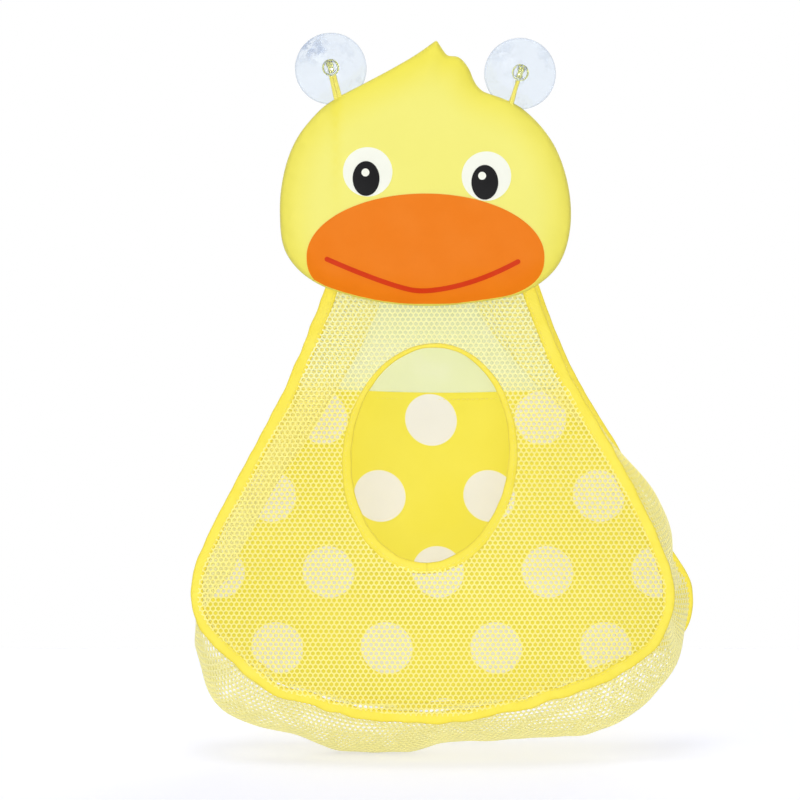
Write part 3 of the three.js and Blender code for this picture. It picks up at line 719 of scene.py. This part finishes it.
FILMS = {"orange_film": film_finish("orange_film", (236, 128, 20), (228, 113, 11)),
         "red_film": film_finish("red_film", (212, 58, 12), (198, 48, 8)),
         "white_film": film_finish("white_film", (243, 245, 235), (234, 236, 222)),
         "black_film": film_finish("black_film", (14, 14, 16), (9, 9, 11))}
print("films:", ", ".join(FILMS))

# %% Pressing a film on
FILM_LIFT, FILM_STEP, FILM_THICK, EDGE_MARGIN = 0.12, 0.26, 0.2, 1.0
head_skin = BVHTree.FromPolygons([tuple(v.co) for v in head.data.vertices],
                                 [tuple(p.vertices) for p in head.data.polygons])


def press_on(name, line, layer, spacing, slot, node):
    """Lays a film on the cover, layer by layer, and keeps it off the cover's edge."""
    while (off := ~is_inside(line, head_line) | (edge_distance(line, head_line) < EDGE_MARGIN)).any():
        line = np.where(off[:, None], line + (line.mean(0) - line) * 0.004, line)
    flat, faces = fill(line, spacing)
    lift = FILM_LIFT + FILM_STEP * layer
    points = []
    for x, z in flat:
        hit = head_skin.ray_cast(Vector((x * MM, -0.2, z * MM)), Vector((0, 1, 0)))[0]
        if hit is None:
            hit = head_skin.find_nearest(Vector((x * MM, -0.016, z * MM)))[0]
        points.append(np.array(hit) / MM - (0, lift, 0))
    film = piece_of(name, points, faces)
    toward_wall = sum(p.normal.y * p.area for p in film.data.polygons) > 0
    if toward_wall:
        film.data.flip_normals()
    thicken(film, FILM_THICK, 1.0)
    dress(film, FILMS[slot], slot, node)


print("cover to press on:", len(head.data.polygons), "faces")

# %% Beak and smile
BEAK_AT, BEAK_HALF, BEAK_UP, BEAK_DOWN, BEAK_FULL = (0, -117.6), 75, 39.6, 29.8, 2.6
SMILE_AT, SMILE_HALF, SMILE_ROUND = (-5, -139.6), 1.55, 1.5


def out_of(line):
    """The way to the right of a line that is followed, at each of its points."""
    along = np.gradient(line, axis=0)
    along /= np.linalg.norm(along, axis=1)[:, None]
    return np.stack([along[:, 1], -along[:, 0]], 1)


def beak_line():
    """An oval with a fuller lower half."""
    turns = np.arange(140) * 2 * math.pi / 140
    right, up = np.cos(turns), np.sin(turns)
    full = np.where(up < 0, 2 / BEAK_FULL, 1.0)
    x = BEAK_HALF * np.sign(right) * np.abs(right) ** full
    z = np.where(up < 0, -BEAK_DOWN * np.abs(up) ** full, BEAK_UP * up)
    return np.stack([BEAK_AT[0] + x, BEAK_AT[1] + z], 1)


def smile_line():
    """A bent stripe with round ends; its left half is the straighter one."""
    across = np.linspace(-1, 1, 121)
    power, reach, rise = [np.where(across < 0, *pair) for pair in ((1.25, 1.85), (60.2, 66.5), (21.6, 20.4))]
    bent = [SMILE_AT[0] + reach * across, SMILE_AT[1] + rise * np.abs(across) ** power]
    evened = [np.convolve(np.pad(line, 6, "edge"), np.ones(13) / 13, "valid") for line in bent]
    middle = np.stack(evened, 1)
    far = lengths_along(middle)
    to_end = np.minimum(far, far[-1] - far)
    half = np.sqrt(SMILE_HALF**2 - np.maximum(0, SMILE_ROUND - to_end) ** 2)[:, None]
    side = -out_of(middle) * half
    return np.vstack([middle - side, (middle + side)[::-1]])


press_on("beak_film", beak_line(), 1, 3.0, "orange_film", "beak")
press_on("smile_film", smile_line(), 2, 1.6, "red_film", "smile_line")

# %% Eyes
EYE_PARTS = [("white", "white_film", 15.6, 15.6, 72, 2.6), ("pupil", "black_film", 8.5, 11, 56, 2.2),
             ("glint", "white_film", 2.5, 2.5, 32, 1.0)]
EYES = {"left": ((-36.5, -64.3), (-37.5, -68.5), (-37.9, -64.7)),
        "right": ((38.4, -67), (37.4, -70.9), (35.7, -66.8))}
for side, centres in EYES.items():
    for layer, (centre, part) in enumerate(zip(centres, EYE_PARTS)):
        kind, slot, half_width, half_height, steps, spacing = part
        turns = np.arange(steps) * 2 * math.pi / steps
        line = np.array(centre) + np.stack([half_width * np.cos(turns), half_height * np.sin(turns)], 1)
        press_on(f"eye_{kind}_film_{side}", line, layer, spacing, slot, f"eye_{kind}_{side}")

# %% [markdown]
# ## The bag's lines
# The front swells away from the wall like a belly, and its seam runs from the neck down, round the
# bottom and up again. The back seam follows it a little higher and wider, flat on the wall, and its
# lower right corner is pulled out, so a sliver of its tape shows past the net there.

# %% Belly and seams
FRONT_SEAM = [(-54, -117.3), (-66.8, -154), (-87.9, -204.4), (-115, -256.4), (-138, -302), (-144.6, -327),
              (-139.5, -349), (-120, -370.5), (-96, -389.5), (-71.5, -396.5), (-36.5, -405), (0, -407.5),
              (41.5, -403.5), (80.9, -392.8), (115.8, -379.4), (143, -361), (153.4, -330), (143, -294),
              (119.1, -246.3), (88.8, -193.3), (71, -150), (60, -117.3)]
SEAM_TOP, SEAM_LOW, SEAM_STEPS = -117.3, -407.5, 360
CORNER_PULL = {14: (-1.0, -1.7), 15: (12.2, -1.9), 16: (9.7, -2.4), 17: (2.6, -4.8)}
BACK_WIDER, BACK_SHIFT, BACK_HIGHER = 1.005, 2.5, 6
MOUTH = (2.8, -243.5)
BELLY_TOP, BELLY_FULL, NECK_AWAY, BELLY_AWAY = -125, -370, 8.35, 88


def belly(x, z):
    """How far the bag's front is from the wall, as a y value."""
    down = np.clip((BELLY_TOP - z) / (BELLY_TOP - BELLY_FULL), 0, 1)
    rise = (1 - np.cos(math.pi * down)) / 2
    below = np.maximum(0, (BELLY_FULL - z) / (BELLY_FULL - SEAM_LOW))
    side = 1 - 0.35 * ((x - MOUTH[0]) / 150) ** 2
    return -(NECK_AWAY + BELLY_AWAY * rise * side * (1 - 0.12 * below**2))


front_seam = smooth(FRONT_SEAM, SEAM_STEPS)
back_marks = []
for i, (x, z) in enumerate(FRONT_SEAM):
    pull_x, pull_z = CORNER_PULL.get(i, (0, 0))
    raised = BACK_HIGHER * (SEAM_TOP - z) / (SEAM_TOP - SEAM_LOW)
    back_marks.append((x * BACK_WIDER + BACK_SHIFT + pull_x, z + raised + pull_z))
back_seam = smooth(back_marks, SEAM_STEPS)
front_out, back_out = out_of(front_seam), out_of(back_seam)
seam_length = lengths_along(front_seam)
print("front seam", round(seam_length[-1]), "mm, back seam", round(lengths_along(back_seam)[-1]), "mm")

# %% [markdown]
# ## Knitted net
# The net is warp-knitted yarn with a honeycomb of small holes. Painted-on holes would vanish from
# the side, so the holes are real: each cell's hexagon is shrunk, strands join neighbouring cells,
# and a small triangle closes each knot. The flat honeycomb is then laid on the bag's surface.

# %% Honeycomb
ACROSS, ROW, SIDE_HALF, POINT_HALF = 3.3, 2.75, 0.85, 1.9
HOLE_SHARE, YARN = 0.73, 0.64


def honeycomb(low, high, keep):
    """Flat net over a box: points, and faces where keep(x, z) holds for each cell's middle."""
    columns = int((high[0] - low[0]) / ACROSS) + 2
    rows = int((high[1] - low[1]) / ROW) + 2
    row, column = np.mgrid[0:rows, 0:columns]
    mid_x = low[0] + ACROSS * (column + 0.5 * (row % 2))
    mid_z = low[1] + ROW * row
    held = keep(mid_x, mid_z)
    number = np.full((rows + 2, columns + 2), -1)
    number[1:-1, 1:-1][held] = np.arange(held.sum())
    hexagon = np.array([(0, POINT_HALF), (ACROSS / 2, SIDE_HALF), (ACROSS / 2, -SIDE_HALF),
                        (0, -POINT_HALF), (-ACROSS / 2, -SIDE_HALF), (-ACROSS / 2, SIDE_HALF)]) * HOLE_SHARE
    middles = np.stack([mid_x[held], mid_z[held]], 1)
    points = (middles[:, None] + hexagon[None]).reshape(-1, 2)
    r, c = np.nonzero(held)
    odd = r % 2
    here = number[r + 1, c + 1]
    right = number[r + 1, c + 2]
    up_right = number[r + 2, c + 1 + odd]
    up_left = number[r + 2, c + odd]
    faces = []
    for other, corners in ((right, (1, 2, 4, 5)), (up_right, (0, 1, 3, 4)), (up_left, (5, 0, 2, 3))):
        both = other >= 0
        a, b = here[both] * 6, other[both] * 6
        i, j, k, m = corners
        faces += np.stack([a + i, a + j, b + k, b + m], 1).tolist()
    for second, third, corners in ((up_right, up_left, (0, 4, 2)), (right, up_right, (1, 5, 3))):
        all_three = (second >= 0) & (third >= 0)
        cells = np.stack([here, second, third], 1)[all_three]
        faces += (cells * 6 + corners).tolist()
    used = np.zeros(len(points), bool)
    used[[i for face in faces for i in face]] = True
    renumber = np.cumsum(used) - 1
    return points[used], [tuple(int(renumber[i]) for i in face) for face in faces]


print("holes", round(1 / (ACROSS * ROW) * 100, 1), "to the square cm")

# %% Front of the bag
MOUTH_HALF, MOUTH_LEAN, MOUTH_CUT = (49.5, 67.3), math.radians(5.5), (52, 69)
MOUTH_SPREAD = (49.5, 66.8)


def net_yarn(name, pale, low, high):
    """Knitted yarn that turns pale between two heights, where light from behind shines through it."""
    finish = Finish(name, Roughness=0.6, Sheen_Weight=0.2)
    place, (x, y, z) = finish.spot()
    yarn = (x + z).wave(0.55)
    faded = finish.clouds(place, 0.02, 2.0)
    colour = finish.mix(faded, paint(252, 242, 138), paint(250, 237, 116))
    colour = finish.mix(z.step(low, high), colour, pale)
    finish.set(Base_Color=finish.mix(yarn * 0.3, colour, paint(252, 248, 190)))
    finish.bump(yarn, 0.03)
    return finish


def mouth_scale(right, up, grow):
    """Below 1 inside the mouth's leaning oval, grown outwards; right and up are from its middle."""
    across = right * math.cos(MOUTH_LEAN) - up * math.sin(MOUTH_LEAN)
    along = right * math.sin(MOUTH_LEAN) + up * math.cos(MOUTH_LEAN)
    return np.hypot(across / (MOUTH_HALF[0] + grow), along / (MOUTH_HALF[1] + grow))


front_outline = np.vstack([front_seam, np.linspace(front_seam[-1], front_seam[0], 30)[1:-1]])


def on_front(x, z):
    flat = np.stack([x.ravel(), z.ravel()], 1)
    held = is_inside(flat, front_outline).reshape(x.shape)
    return held & (mouth_scale(x - MOUTH[0], z - MOUTH[1], 2.6) > 1)


flat_net, net_faces = honeycomb(front_seam.min(0), front_seam.max(0), on_front)
sway = 1.1 * ripple(flat_net[:, 0], flat_net[:, 1], 34.0, 5.5)
net_y = belly(*flat_net.T) - sway * np.clip((-150 - flat_net[:, 1]) / 60, 0, 1)
front_net = piece_of("front_net", stood_up(flat_net, net_y), net_faces, False)
thicken(front_net, YARN)
front_yarn = net_yarn("front_yarn", paint(244, 244, 178), -212, -188)
dress(front_net, front_yarn, "mesh_fabric", "front_mesh_panel")
down_front = np.linspace(-117, -407, 60)
down_line = np.stack([down_front, belly(MOUTH[0], down_front)], 1)

# %% [markdown]
# ## Gusset
# One long strip of the same net joins front and back. Along the upper sides it is folded inwards
# like a bellows, so the net shows double there, and round the bottom it bags outwards. The strip is
# laid as a left and a right run that meet under the belly, where such strips are joined.

# %% Bellows and belly of the strip
STRIP_STEPS, STRIP_HALF = 40, 64
FOLD_LEFT, FOLD_LESS, FOLD_RIGHT, BOTTOM_SAG = 32, 12, 40, 13
gusset_yarn = net_yarn("gusset_yarn", paint(252, 246, 172), -240, -300)
BAGGING = [(0.336, 0.03, 12.4), (0.411, 0.087, 13.5), (0.617, 0.066, 17.6), (0.722, 0.031, -13),
           (0.8, 0.058, 14.8)]


def ease(value, low, high):
    t = np.clip((value - low) / (high - low), 0, 1)
    return t * t * (3 - 2 * t)


def strip_lines():
    """Points across the strip at each seam station, from the front seam to the back one."""
    start = stood_up(front_seam, belly(*front_seam.T) + 1.7)
    end = stood_up(back_seam, -3.2)
    along = np.linspace(0, 1, len(front_seam))
    is_open = ease(along, 0.25, 0.302) * (1 - ease(along, 0.84, 0.997))
    bulge = 2.2 + sum(far * np.exp(-(((along - at) / width) ** 2)) for at, width, far in BAGGING)
    fold = np.where(along < 0.5, FOLD_LEFT - FOLD_LESS * ease(along, 0.02, 0.2), FOLD_RIGHT)
    push = -fold + (fold + bulge) * is_open
    bow = stood_up(front_out * push[:, None], 0)
    bow[:, 2] -= BOTTOM_SAG * is_open
    share = np.linspace(0, 1, STRIP_STEPS + 1)
    flat = start[:, None] + (end - start)[:, None] * share[None, :, None]
    return flat + bow[:, None] * np.sin(math.pi * share)[None, :, None]


strip = strip_lines()
strip_width = np.linalg.norm(np.diff(strip, axis=1), axis=2).sum(1)
print("gusset width from", round(strip_width.min()), "to", round(strip_width.max()), "mm")


def lay_on_strip(along, from_middle):
    station = np.interp(along, seam_length, np.arange(len(seam_length)))
    width = np.interp(along, seam_length, strip_width)
    share = np.clip(0.5 + from_middle / width, 0, 1)
    i = np.minimum(station.astype(int), len(seam_length) - 2)
    j = np.minimum((share * STRIP_STEPS).astype(int), STRIP_STEPS - 1)
    u, v = (station - i)[:, None], (share * STRIP_STEPS - j)[:, None]
    place = (strip[i, j] * (1 - u) * (1 - v) + strip[i + 1, j] * u * (1 - v)
             + strip[i, j + 1] * (1 - u) * v + strip[i + 1, j + 1] * u * v)
    slack = np.sin(math.pi * share) * ease(along, 150, 330) * (1 - ease(along, 560, 760))
    small, large = ripple(along, from_middle * 0.5, 15.0, 2.2), ripple(along, from_middle, 34.0, 6.1)
    place[:, [0, 2]] += front_out[i] * (slack * (1.2 * small + 3.0 * large))[:, None]
    return place


# %% Left and right run of the strip
middle_along = seam_length[-1] / 2
for side, first, last in (("left", 0.0, middle_along + 2), ("right", middle_along - 2, seam_length[-1])):
    def in_strip(along, from_middle):
        half = np.interp(along, seam_length, strip_width) / 2
        return (along > first) & (along < last) & (np.abs(from_middle) < half)

    flat_strip, strip_faces = honeycomb((first, -STRIP_HALF), (last, STRIP_HALF), in_strip)
    gusset = piece_of(f"gusset_net_{side}", lay_on_strip(*flat_strip.T), strip_faces, False)
    thicken(gusset, YARN)
    dress(gusset, gusset_yarn, "mesh_fabric", "gusset_mesh")
    run = (seam_length > first) & (seam_length < last)
    strip_area = strip_width[run].mean() * (last - first)
    (last - first) * MM
    strip_area * MM * MM

# %% [markdown]
# ## Binding tape
# The raw edges of the net are hidden in a soft ribbed tape, folded over them and sewn through. The
# section is a flat loop with round edges, swept along each seam. A sewn tape never lies dead
# straight, so its width and place wander a little, and more at the slack bottom.

# %% Tape and thread finish
tape_finish = Finish("ribbed_tape", Sheen_Weight=0.3, Sheen_Roughness=0.4)
place, _ = tape_finish.spot()
rib = tape_finish.drawn("along_tape").wave(0.9)
worn = tape_finish.clouds(place, 0.08, 3.0)
# The tape is painted darker towards its rolled edges: painted shade where it turns over.
edge = tape_finish.drawn("across_tape")
tape_colour = tape_finish.mix(worn, paint(248, 234, 86), paint(244, 225, 58))
tape_colour = tape_finish.mix((edge ** 3) * 0.45 + rib * 0.1, tape_colour, paint(236, 212, 52))
tape_finish.set(Base_Color=tape_colour, Roughness=worn * 0.2 + 0.48)
tape_finish.bump(rib + worn, 0.14, 0.7)
thread_finish = Finish("sewing_thread", Roughness=0.5, Sheen_Weight=0.3)
ply_turn = thread_finish.drawn("along_tape").wave(0.5)
thread_finish.set(Base_Color=thread_finish.mix(ply_turn, paint(236, 214, 60), paint(252, 240, 130)))
thread_finish.bump(ply_turn, 0.1)
print("tape with ribs every 0.9 mm, thread with a turn every 0.5 mm")

# %% Sweeping tape
TAPE_WIDTH, TAPE_THICK = 5.3, 2.2


def tape_section(sides=16):
    turns = np.arange(sides) * 2 * math.pi / sides
    flat = lambda v, power: np.sign(v) * np.abs(v) ** power
    return flat(np.cos(turns), 0.6) * TAPE_WIDTH / 2, flat(np.sin(turns), 0.75) * TAPE_THICK / 2


def sweep_tape(name, middle, out, wander, node, wide=1.0):
    """middle: (x, y, z) along the seam; out: the way out of the panel in x and z."""
    along = lengths_along(middle)
    across, thick = tape_section()
    sides = len(across)
    drift = lambda size, seed: np.array([noise.noise(Vector((a / size, seed, len(name)))) for a in along])
    shift = wander * drift(14, 0.3)
    swell = 1 + 0.14 * drift(9, 4.3)
    pinch = 1 + 0.25 * drift(6, 7.7)
    reach = across[None] * (swell * wide)[:, None] + shift[:, None]
    points = np.stack([middle[:, :1] + reach * out[:, :1], middle[:, 1:2] - thick[None] * pinch[:, None],
                       middle[:, 2:] + reach * out[:, 1:]], 2).reshape(-1, 3)
    piece = piece_of(name, points, tube_faces(len(middle), sides, inside_out=True))
    write_on(piece, "along_tape", np.repeat(along, sides))
    write_on(piece, "across_tape", np.tile(np.abs(across) / (TAPE_WIDTH / 2), len(middle)))
    dress(piece, tape_finish, "binding_tape", node)
    return shift, pinch


print("tape section", TAPE_WIDTH, "by", TAPE_THICK, "mm")

# %% Sewing a row
STITCH = [(-0.5, 0.1, 0.16), (-0.3, 0.24, 0.0), (0.3, 0.24, 0.0), (0.5, 0.1, 0.16)]
STITCH_SIDES = 6


def sew_row(name, middle, out, from_middle, depth, pitch=3.4, length=2.3):
    """A row of thread stitches, as small spindles whose ends dip into the tape."""
    along = lengths_along(middle)
    lift = np.array([0, -1.0, 0])
    points, faces, marks = [], [], []
    for s in np.arange(pitch, along[-1] - pitch, pitch):
        at = at_length(s, along, middle)
        way = at_length(s + 0.5, along, middle) - at
        way /= np.linalg.norm(way)
        side = np.insert(at_length(s, along, out), 1, 0)
        at = at + side * np.interp(s, along, from_middle) + lift * np.interp(s, along, depth)
        faces += tube_faces(len(STITCH), STITCH_SIDES, len(points))
        for share, thick, dip in STITCH:
            for t in np.arange(STITCH_SIDES) * 2 * math.pi / STITCH_SIDES:
                round_it = thick * (math.cos(t) * side + math.sin(t) * lift)
                points.append(at + way * share * length + round_it - lift * dip)
                marks.append(s + share * length)
    row = piece_of(name, points, faces)
    write_on(row, "along_tape", marks)
    dress(row, thread_finish, "binding_tape")


def tape_and_sew(name, line, y, out, wander, wide, sewn_at):
    """A tape along a flat line at its y, and a row of stitches on it."""
    middle = stood_up(line, y)
    shift, pinch = sweep_tape(f"{name}_tape", middle, out, wander, f"{name}_binding", wide)
    sew_row(f"{name}_stitches", middle, out, shift + sewn_at, pinch)


print("stitches of", STITCH_SIDES, "sides")

# %% Three taped seams
slack_low = 0.3 + 1.9 * ease(-front_seam[:, 1], 340, 395)
seam_wide = 1.62 - 0.22 * ease(-front_seam[:, 1], 200, 330)
taped_line = front_seam - front_out * ((seam_wide - 1) * TAPE_WIDTH / 2)[:, None]
tape_and_sew("front_seam", taped_line, belly(*taped_line.T), front_out, slack_low, seam_wide, -2.2)

mouth_turns = np.radians(np.linspace(-96, 268, 245))
mouth_way = np.stack([np.cos(mouth_turns), np.sin(mouth_turns)], 1) * MOUTH_SPREAD
mouth_line = np.array(MOUTH) + mouth_way / mouth_scale(*mouth_way.T, 2.65)[:, None]
lapped = 0.3 * ease(mouth_turns, math.radians(258), math.radians(264))
mouth_wide = 1.05 - 0.44 * np.sin(mouth_turns) - 0.11 * np.sin(mouth_turns) ** 2
tape_and_sew("mouth", mouth_line, belly(*mouth_line.T) - lapped, out_of(mouth_line), 0.35, mouth_wide, 0.6)

tape_and_sew("back_seam", back_seam, -1.5, back_out, 0.4, 1.0, -1.2)

# %% [markdown]
# ## Back panels
# The lower back is yellow cloth printed with white dots, and the upper back is thin sheer cloth.
# Both lie nearly flat on the wall, with soft waves, and the dotted one has a hem along its top that
# sags a little. The dots are one staggered grid, slightly slanting, as such cloth is often cut, and
# the sagging hem takes them along. The shorter of two distances draws them without any picture.

# %% Back cloths
DOT_RADIUS, DOT_APART, DOT_ROWS, DOT_SLANT = 16.3, 69.3, 48.1, 0.046
DOT_AT, DOT_EDGE, CLOTH_WEAVE = (3.5, -220.8), 0.35, 0.8


def cloth_base(name):
    finish = Finish(name, Sheen_Weight=0.15)
    place, (x, y, z) = finish.spot()
    weave = finish.weave(x, z, CLOTH_WEAVE)
    cloud = finish.clouds(place, 0.025, 3.0)
    finish.set(Roughness=cloud * 0.2 + 0.6)
    finish.bump(weave + cloud, 0.12, 0.6)
    return finish, weave, cloud, place, x, z


dotted, weave, cloud, _, x, z = cloth_base("dotted_cloth")
below_row = z - dotted.drawn("lifted") - DOT_AT[1]
off_column = (x + below_row * DOT_SLANT - DOT_AT[0]).there_and_back(DOT_APART / 2)
off_row = below_row.there_and_back(DOT_ROWS)
from_dot = (off_column ** 2 + off_row ** 2) ** 0.5
next_dot = ((DOT_APART / 2 - off_column) ** 2 + (DOT_ROWS - off_row) ** 2) ** 0.5
in_dot = 1 - from_dot.lower_of(next_dot).step(DOT_RADIUS - DOT_EDGE, DOT_RADIUS + DOT_EDGE)
ground = dotted.mix(cloud, paint(244, 231, 78), paint(240, 226, 62))
ground = dotted.mix(weave * 0.15, ground, paint(222, 206, 60))
printed = dotted.mix(cloud, paint(243, 240, 232), paint(233, 230, 220))
dotted.set(Base_Color=dotted.mix(in_dot, ground, printed))

sheer, weave, cloud, place, _, _ = cloth_base("sheer_cloth")
# Soft whiter patches in the sheer cloth are painted light coming through it.
painted_light_patch = sheer.clouds(place, 0.018, 1.0).step(0.48, 0.62)
sheer_colour = sheer.mix(cloud * 0.5 + weave * 0.3, paint(240, 245, 198), paint(233, 240, 182))
sheer.set(Base_Color=sheer.mix(painted_light_patch * 0.6, sheer_colour, paint(248, 249, 226)), Alpha=0.68)
print("dots", round(2 * DOT_RADIUS, 1), "mm wide,", DOT_APART, "mm apart")

# %% Cutting and laying the back
BACK_JOIN, BACK_LAP, UNDER_ALL = -198.8, 8.0, -500
HEM_SAG, HEM_MIDDLE, HEM_HALF, HEM_DEEP, HEM_STEPS = 4.0, 12, 90, 5.0, 120


def back_outline(low, high):
    """The back seam between two heights, a little inside its tape, and closed."""
    held = (back_seam[:, 1] >= low) & (back_seam[:, 1] <= high)
    side = (back_seam - back_out * 0.6)[held]
    if low < SEAM_LOW:
        return np.vstack([side, np.linspace(side[-1], side[0], 40)[1:-1]])
    left, right = side[side[:, 0] < 0], side[side[:, 0] >= 0]
    top = np.linspace(right[-1], left[0], 30)[1:-1]
    bottom = np.linspace(left[-1], right[0], 40)[1:-1]
    return np.vstack([left, bottom, right, top])


def hem_sag(x):
    return HEM_SAG * np.clip(1 - ((x - HEM_MIDDLE) / HEM_HALF) ** 2, 0, 1)


def lay_back(name, low, high, away, waves, finish, slot, node):
    line = back_outline(low, high)
    flat, faces = fill(line, 6.0)
    near_hem = ease(flat[:, 1], high - 60, high) if high == BACK_JOIN else 0
    sag = hem_sag(flat[:, 0])
    flat[:, 1] -= sag * near_hem
    inside = np.clip(edge_distance(flat, line) / 25, 0, 1)
    lift = waves * inside * (0.6 + ripple(flat[:, 0], flat[:, 1] * 0.6, 30.0, 9.4))
    panel = piece_of(name, stood_up(flat, -away - lift), faces)
    write_on(panel, "lifted", (HEM_SAG - sag) * near_hem)
    thicken(panel, 0.5)
    dress(panel, finish, slot, node)


lay_back("dotted_back", UNDER_ALL, BACK_JOIN, 2.0, 1.6, dotted, "dotted_fabric", "back_panel_dotted")
lay_back("sheer_back", BACK_JOIN - BACK_LAP, SEAM_TOP, 1.0, 0.5, sheer, "sheer_fabric", "back_panel_upper")

# %% Stitches of the hem
half = len(back_seam) // 2
hem_ends = [np.interp(BACK_JOIN, *side.T[::-1]) for side in (back_seam[:half][::-1], back_seam[half:])]
hem_x = np.linspace(*hem_ends, HEM_STEPS)
hem_line = np.stack([hem_x, BACK_JOIN - HEM_DEEP - hem_sag(hem_x)], 1)
hem_up = np.tile([0.0, 1.0], (HEM_STEPS, 1))
hem_depth = np.full(HEM_STEPS, 0.05)
sew_row("hem_stitches", stood_up(hem_line, -2.4), hem_up, 0 * hem_depth, hem_depth, 3.0, 2.0)

# %% [markdown]
# ## Neck tape
# The top edge of the bag is gathered into a short tape that is sewn to the back of the head. It is
# a thick soft band with small gathers, closed all round.

# %% Gathered neck
NECK_NEAR, NECK_FAR = 0.2, 9.35
NECK_SECTION = [(0.4, -117.0), (0.4, -114.0), (0.4, -111.0), (4.9, -110.7), (9.2, -111.0), (9.2, -114.0),
                (9.2, -117.0), (4.9, -117.2)]
neck_x = np.linspace(-54, 60, 150)
gathers = 0.45 * np.sin(neck_x * 1.15 + 1.5 * np.sin(neck_x * 0.21))
neck_points = []
for x_here, pull in zip(neck_x, gathers):
    for away, height in NECK_SECTION:
        pulled = np.clip(away + (0.3 * pull if away > 5 else -0.3 * pull), NECK_NEAR, NECK_FAR)
        rise = 0.4 * (pull if 0.5 < away < 9.0 else pull * 0.5)
        neck_points.append((x_here, -pulled, height + rise))
neck = piece_of("gathered_neck", neck_points, tube_faces(len(neck_x), len(NECK_SECTION), inside_out=True))
write_on(neck, "along_tape", np.repeat(neck_x, len(NECK_SECTION)))
# The band's corners count as edges, where the tape finish paints shade.
write_on(neck, "across_tape", np.tile([1, 0.2, 1, 0.4, 1, 0.2, 1, 0.4], len(neck_x)))
dress(neck, tape_finish, "binding_tape", "neck_tape")

# %% [markdown]
# ## Room and light
# The picture has an even white room, one soft light from the upper left and hardly any shadow. The
# room's light is kept at a plain level, and what the lens, clear plastic and gloss see of it is white.
# The strongest lamp stands behind the lens, so that each shadow hides behind what casts it.

# %% White room
ROOM_LEVEL = 0.36
scene = bpy.context.scene
scene.view_settings.view_transform = "Standard"
world = bpy.data.worlds.new("white_room")
world.use_nodes = True
scene.world = world
room = Nodes(world.node_tree)
strength = room.seen_directly() * (1 - ROOM_LEVEL) + ROOM_LEVEL
room.feed(world.node_tree.nodes["Background"], {"Color": (1, 1, 1, 1), "Strength": strength})
print("room light at", ROOM_LEVEL, "of the white that the lens sees")

# %% Soft lamps
def soft_lamp(name, place, aim, watts, width, is_seen=True):
    light = bpy.data.lights.new(name, "AREA")
    light.energy, light.size = watts, width
    lamp = bpy.data.objects.new(name, light)
    lamp.location = place
    lamp.rotation_euler = (Vector(aim) - Vector(place)).to_track_quat("-Z", "Y").to_euler()
    lamp.visible_camera = lamp.visible_transmission = lamp.visible_glossy = is_seen
    bpy.context.collection.objects.link(lamp)
    print(name, watts, "W")


soft_lamp("lens_box", (FRAME_MIDDLE.x, -6.1, FRAME_MIDDLE.z), (FRAME_MIDDLE.x, 0, FRAME_MIDDLE.z), 166, 0.06)
soft_lamp("key_box", (-1.1, -1.6, 1.1), (0, 0, -0.2), 4, 1.0)
soft_lamp("low_card", (0.2, -1.6, -0.4), (0, 0, -0.15), 3, 0.8)
soft_lamp("wall_card", (0.6, 2.6, 0.8), (0, 0, -0.2), 40, 1.6, is_seen=False)
soft_lamp("top_box", (-0.1, -0.1, 1.2), (0, -0.05, -0.43), 5, 0.7, is_seen=False)

# %% [markdown]
# ## Floor
# A plain white floor ends the picture softly below the bag. The lens looks along it, so a level floor
# would be a line; this one rises a little towards the wall, and the bag's faint shadow shows on it.
# It glows by itself for the lens, so that it goes over into the white room without an edge.

# %% Floor under the bag
FLOOR_AT, FLOOR_UNDER, FLOOR_SLOPE = -431, -50, math.tan(math.radians(8))
FLOOR_HALF, FLOOR_BACK = 3000, 350
floor_finish = Finish("white_floor", Base_Color=(0.8, 0.8, 0.8, 1), Roughness=0.9)
place, (x, y, z) = floor_finish.spot()
from_bag = (x ** 2 + y ** 2) ** 0.5
# Near the bag the glow is weaker, so the lamps bring the floor to white there and the bag's shadow shows,
# and bluer: a painted tint against the yellow light the bag throws on the floor.
glow_colour = floor_finish.mix(from_bag.step(250, 1500), (0.34, 0.35, 0.44, 1), (0.74, 0.74, 0.74, 1))
glow = floor_finish.add("ShaderNodeEmission", None,
                        {"Color": glow_colour, "Strength": floor_finish.seen_directly()})
floor_finish.show(floor_finish.add("ShaderNodeAddShader", None, {0: floor_finish.main, 1: glow}))
floor_flat = [(-FLOOR_HALF, -FLOOR_HALF), (FLOOR_HALF, -FLOOR_HALF), (FLOOR_HALF, FLOOR_BACK),
              (-FLOOR_HALF, FLOOR_BACK)]
floor_points = [(x, y, FLOOR_AT + (y - FLOOR_UNDER) * FLOOR_SLOPE) for x, y in floor_flat]
floor = piece_of("floor", floor_points, [(0, 1, 2, 3)], False)
floor.data.materials.append(floor_finish.material)
print("floor at z", FLOOR_AT, "mm, below the bag")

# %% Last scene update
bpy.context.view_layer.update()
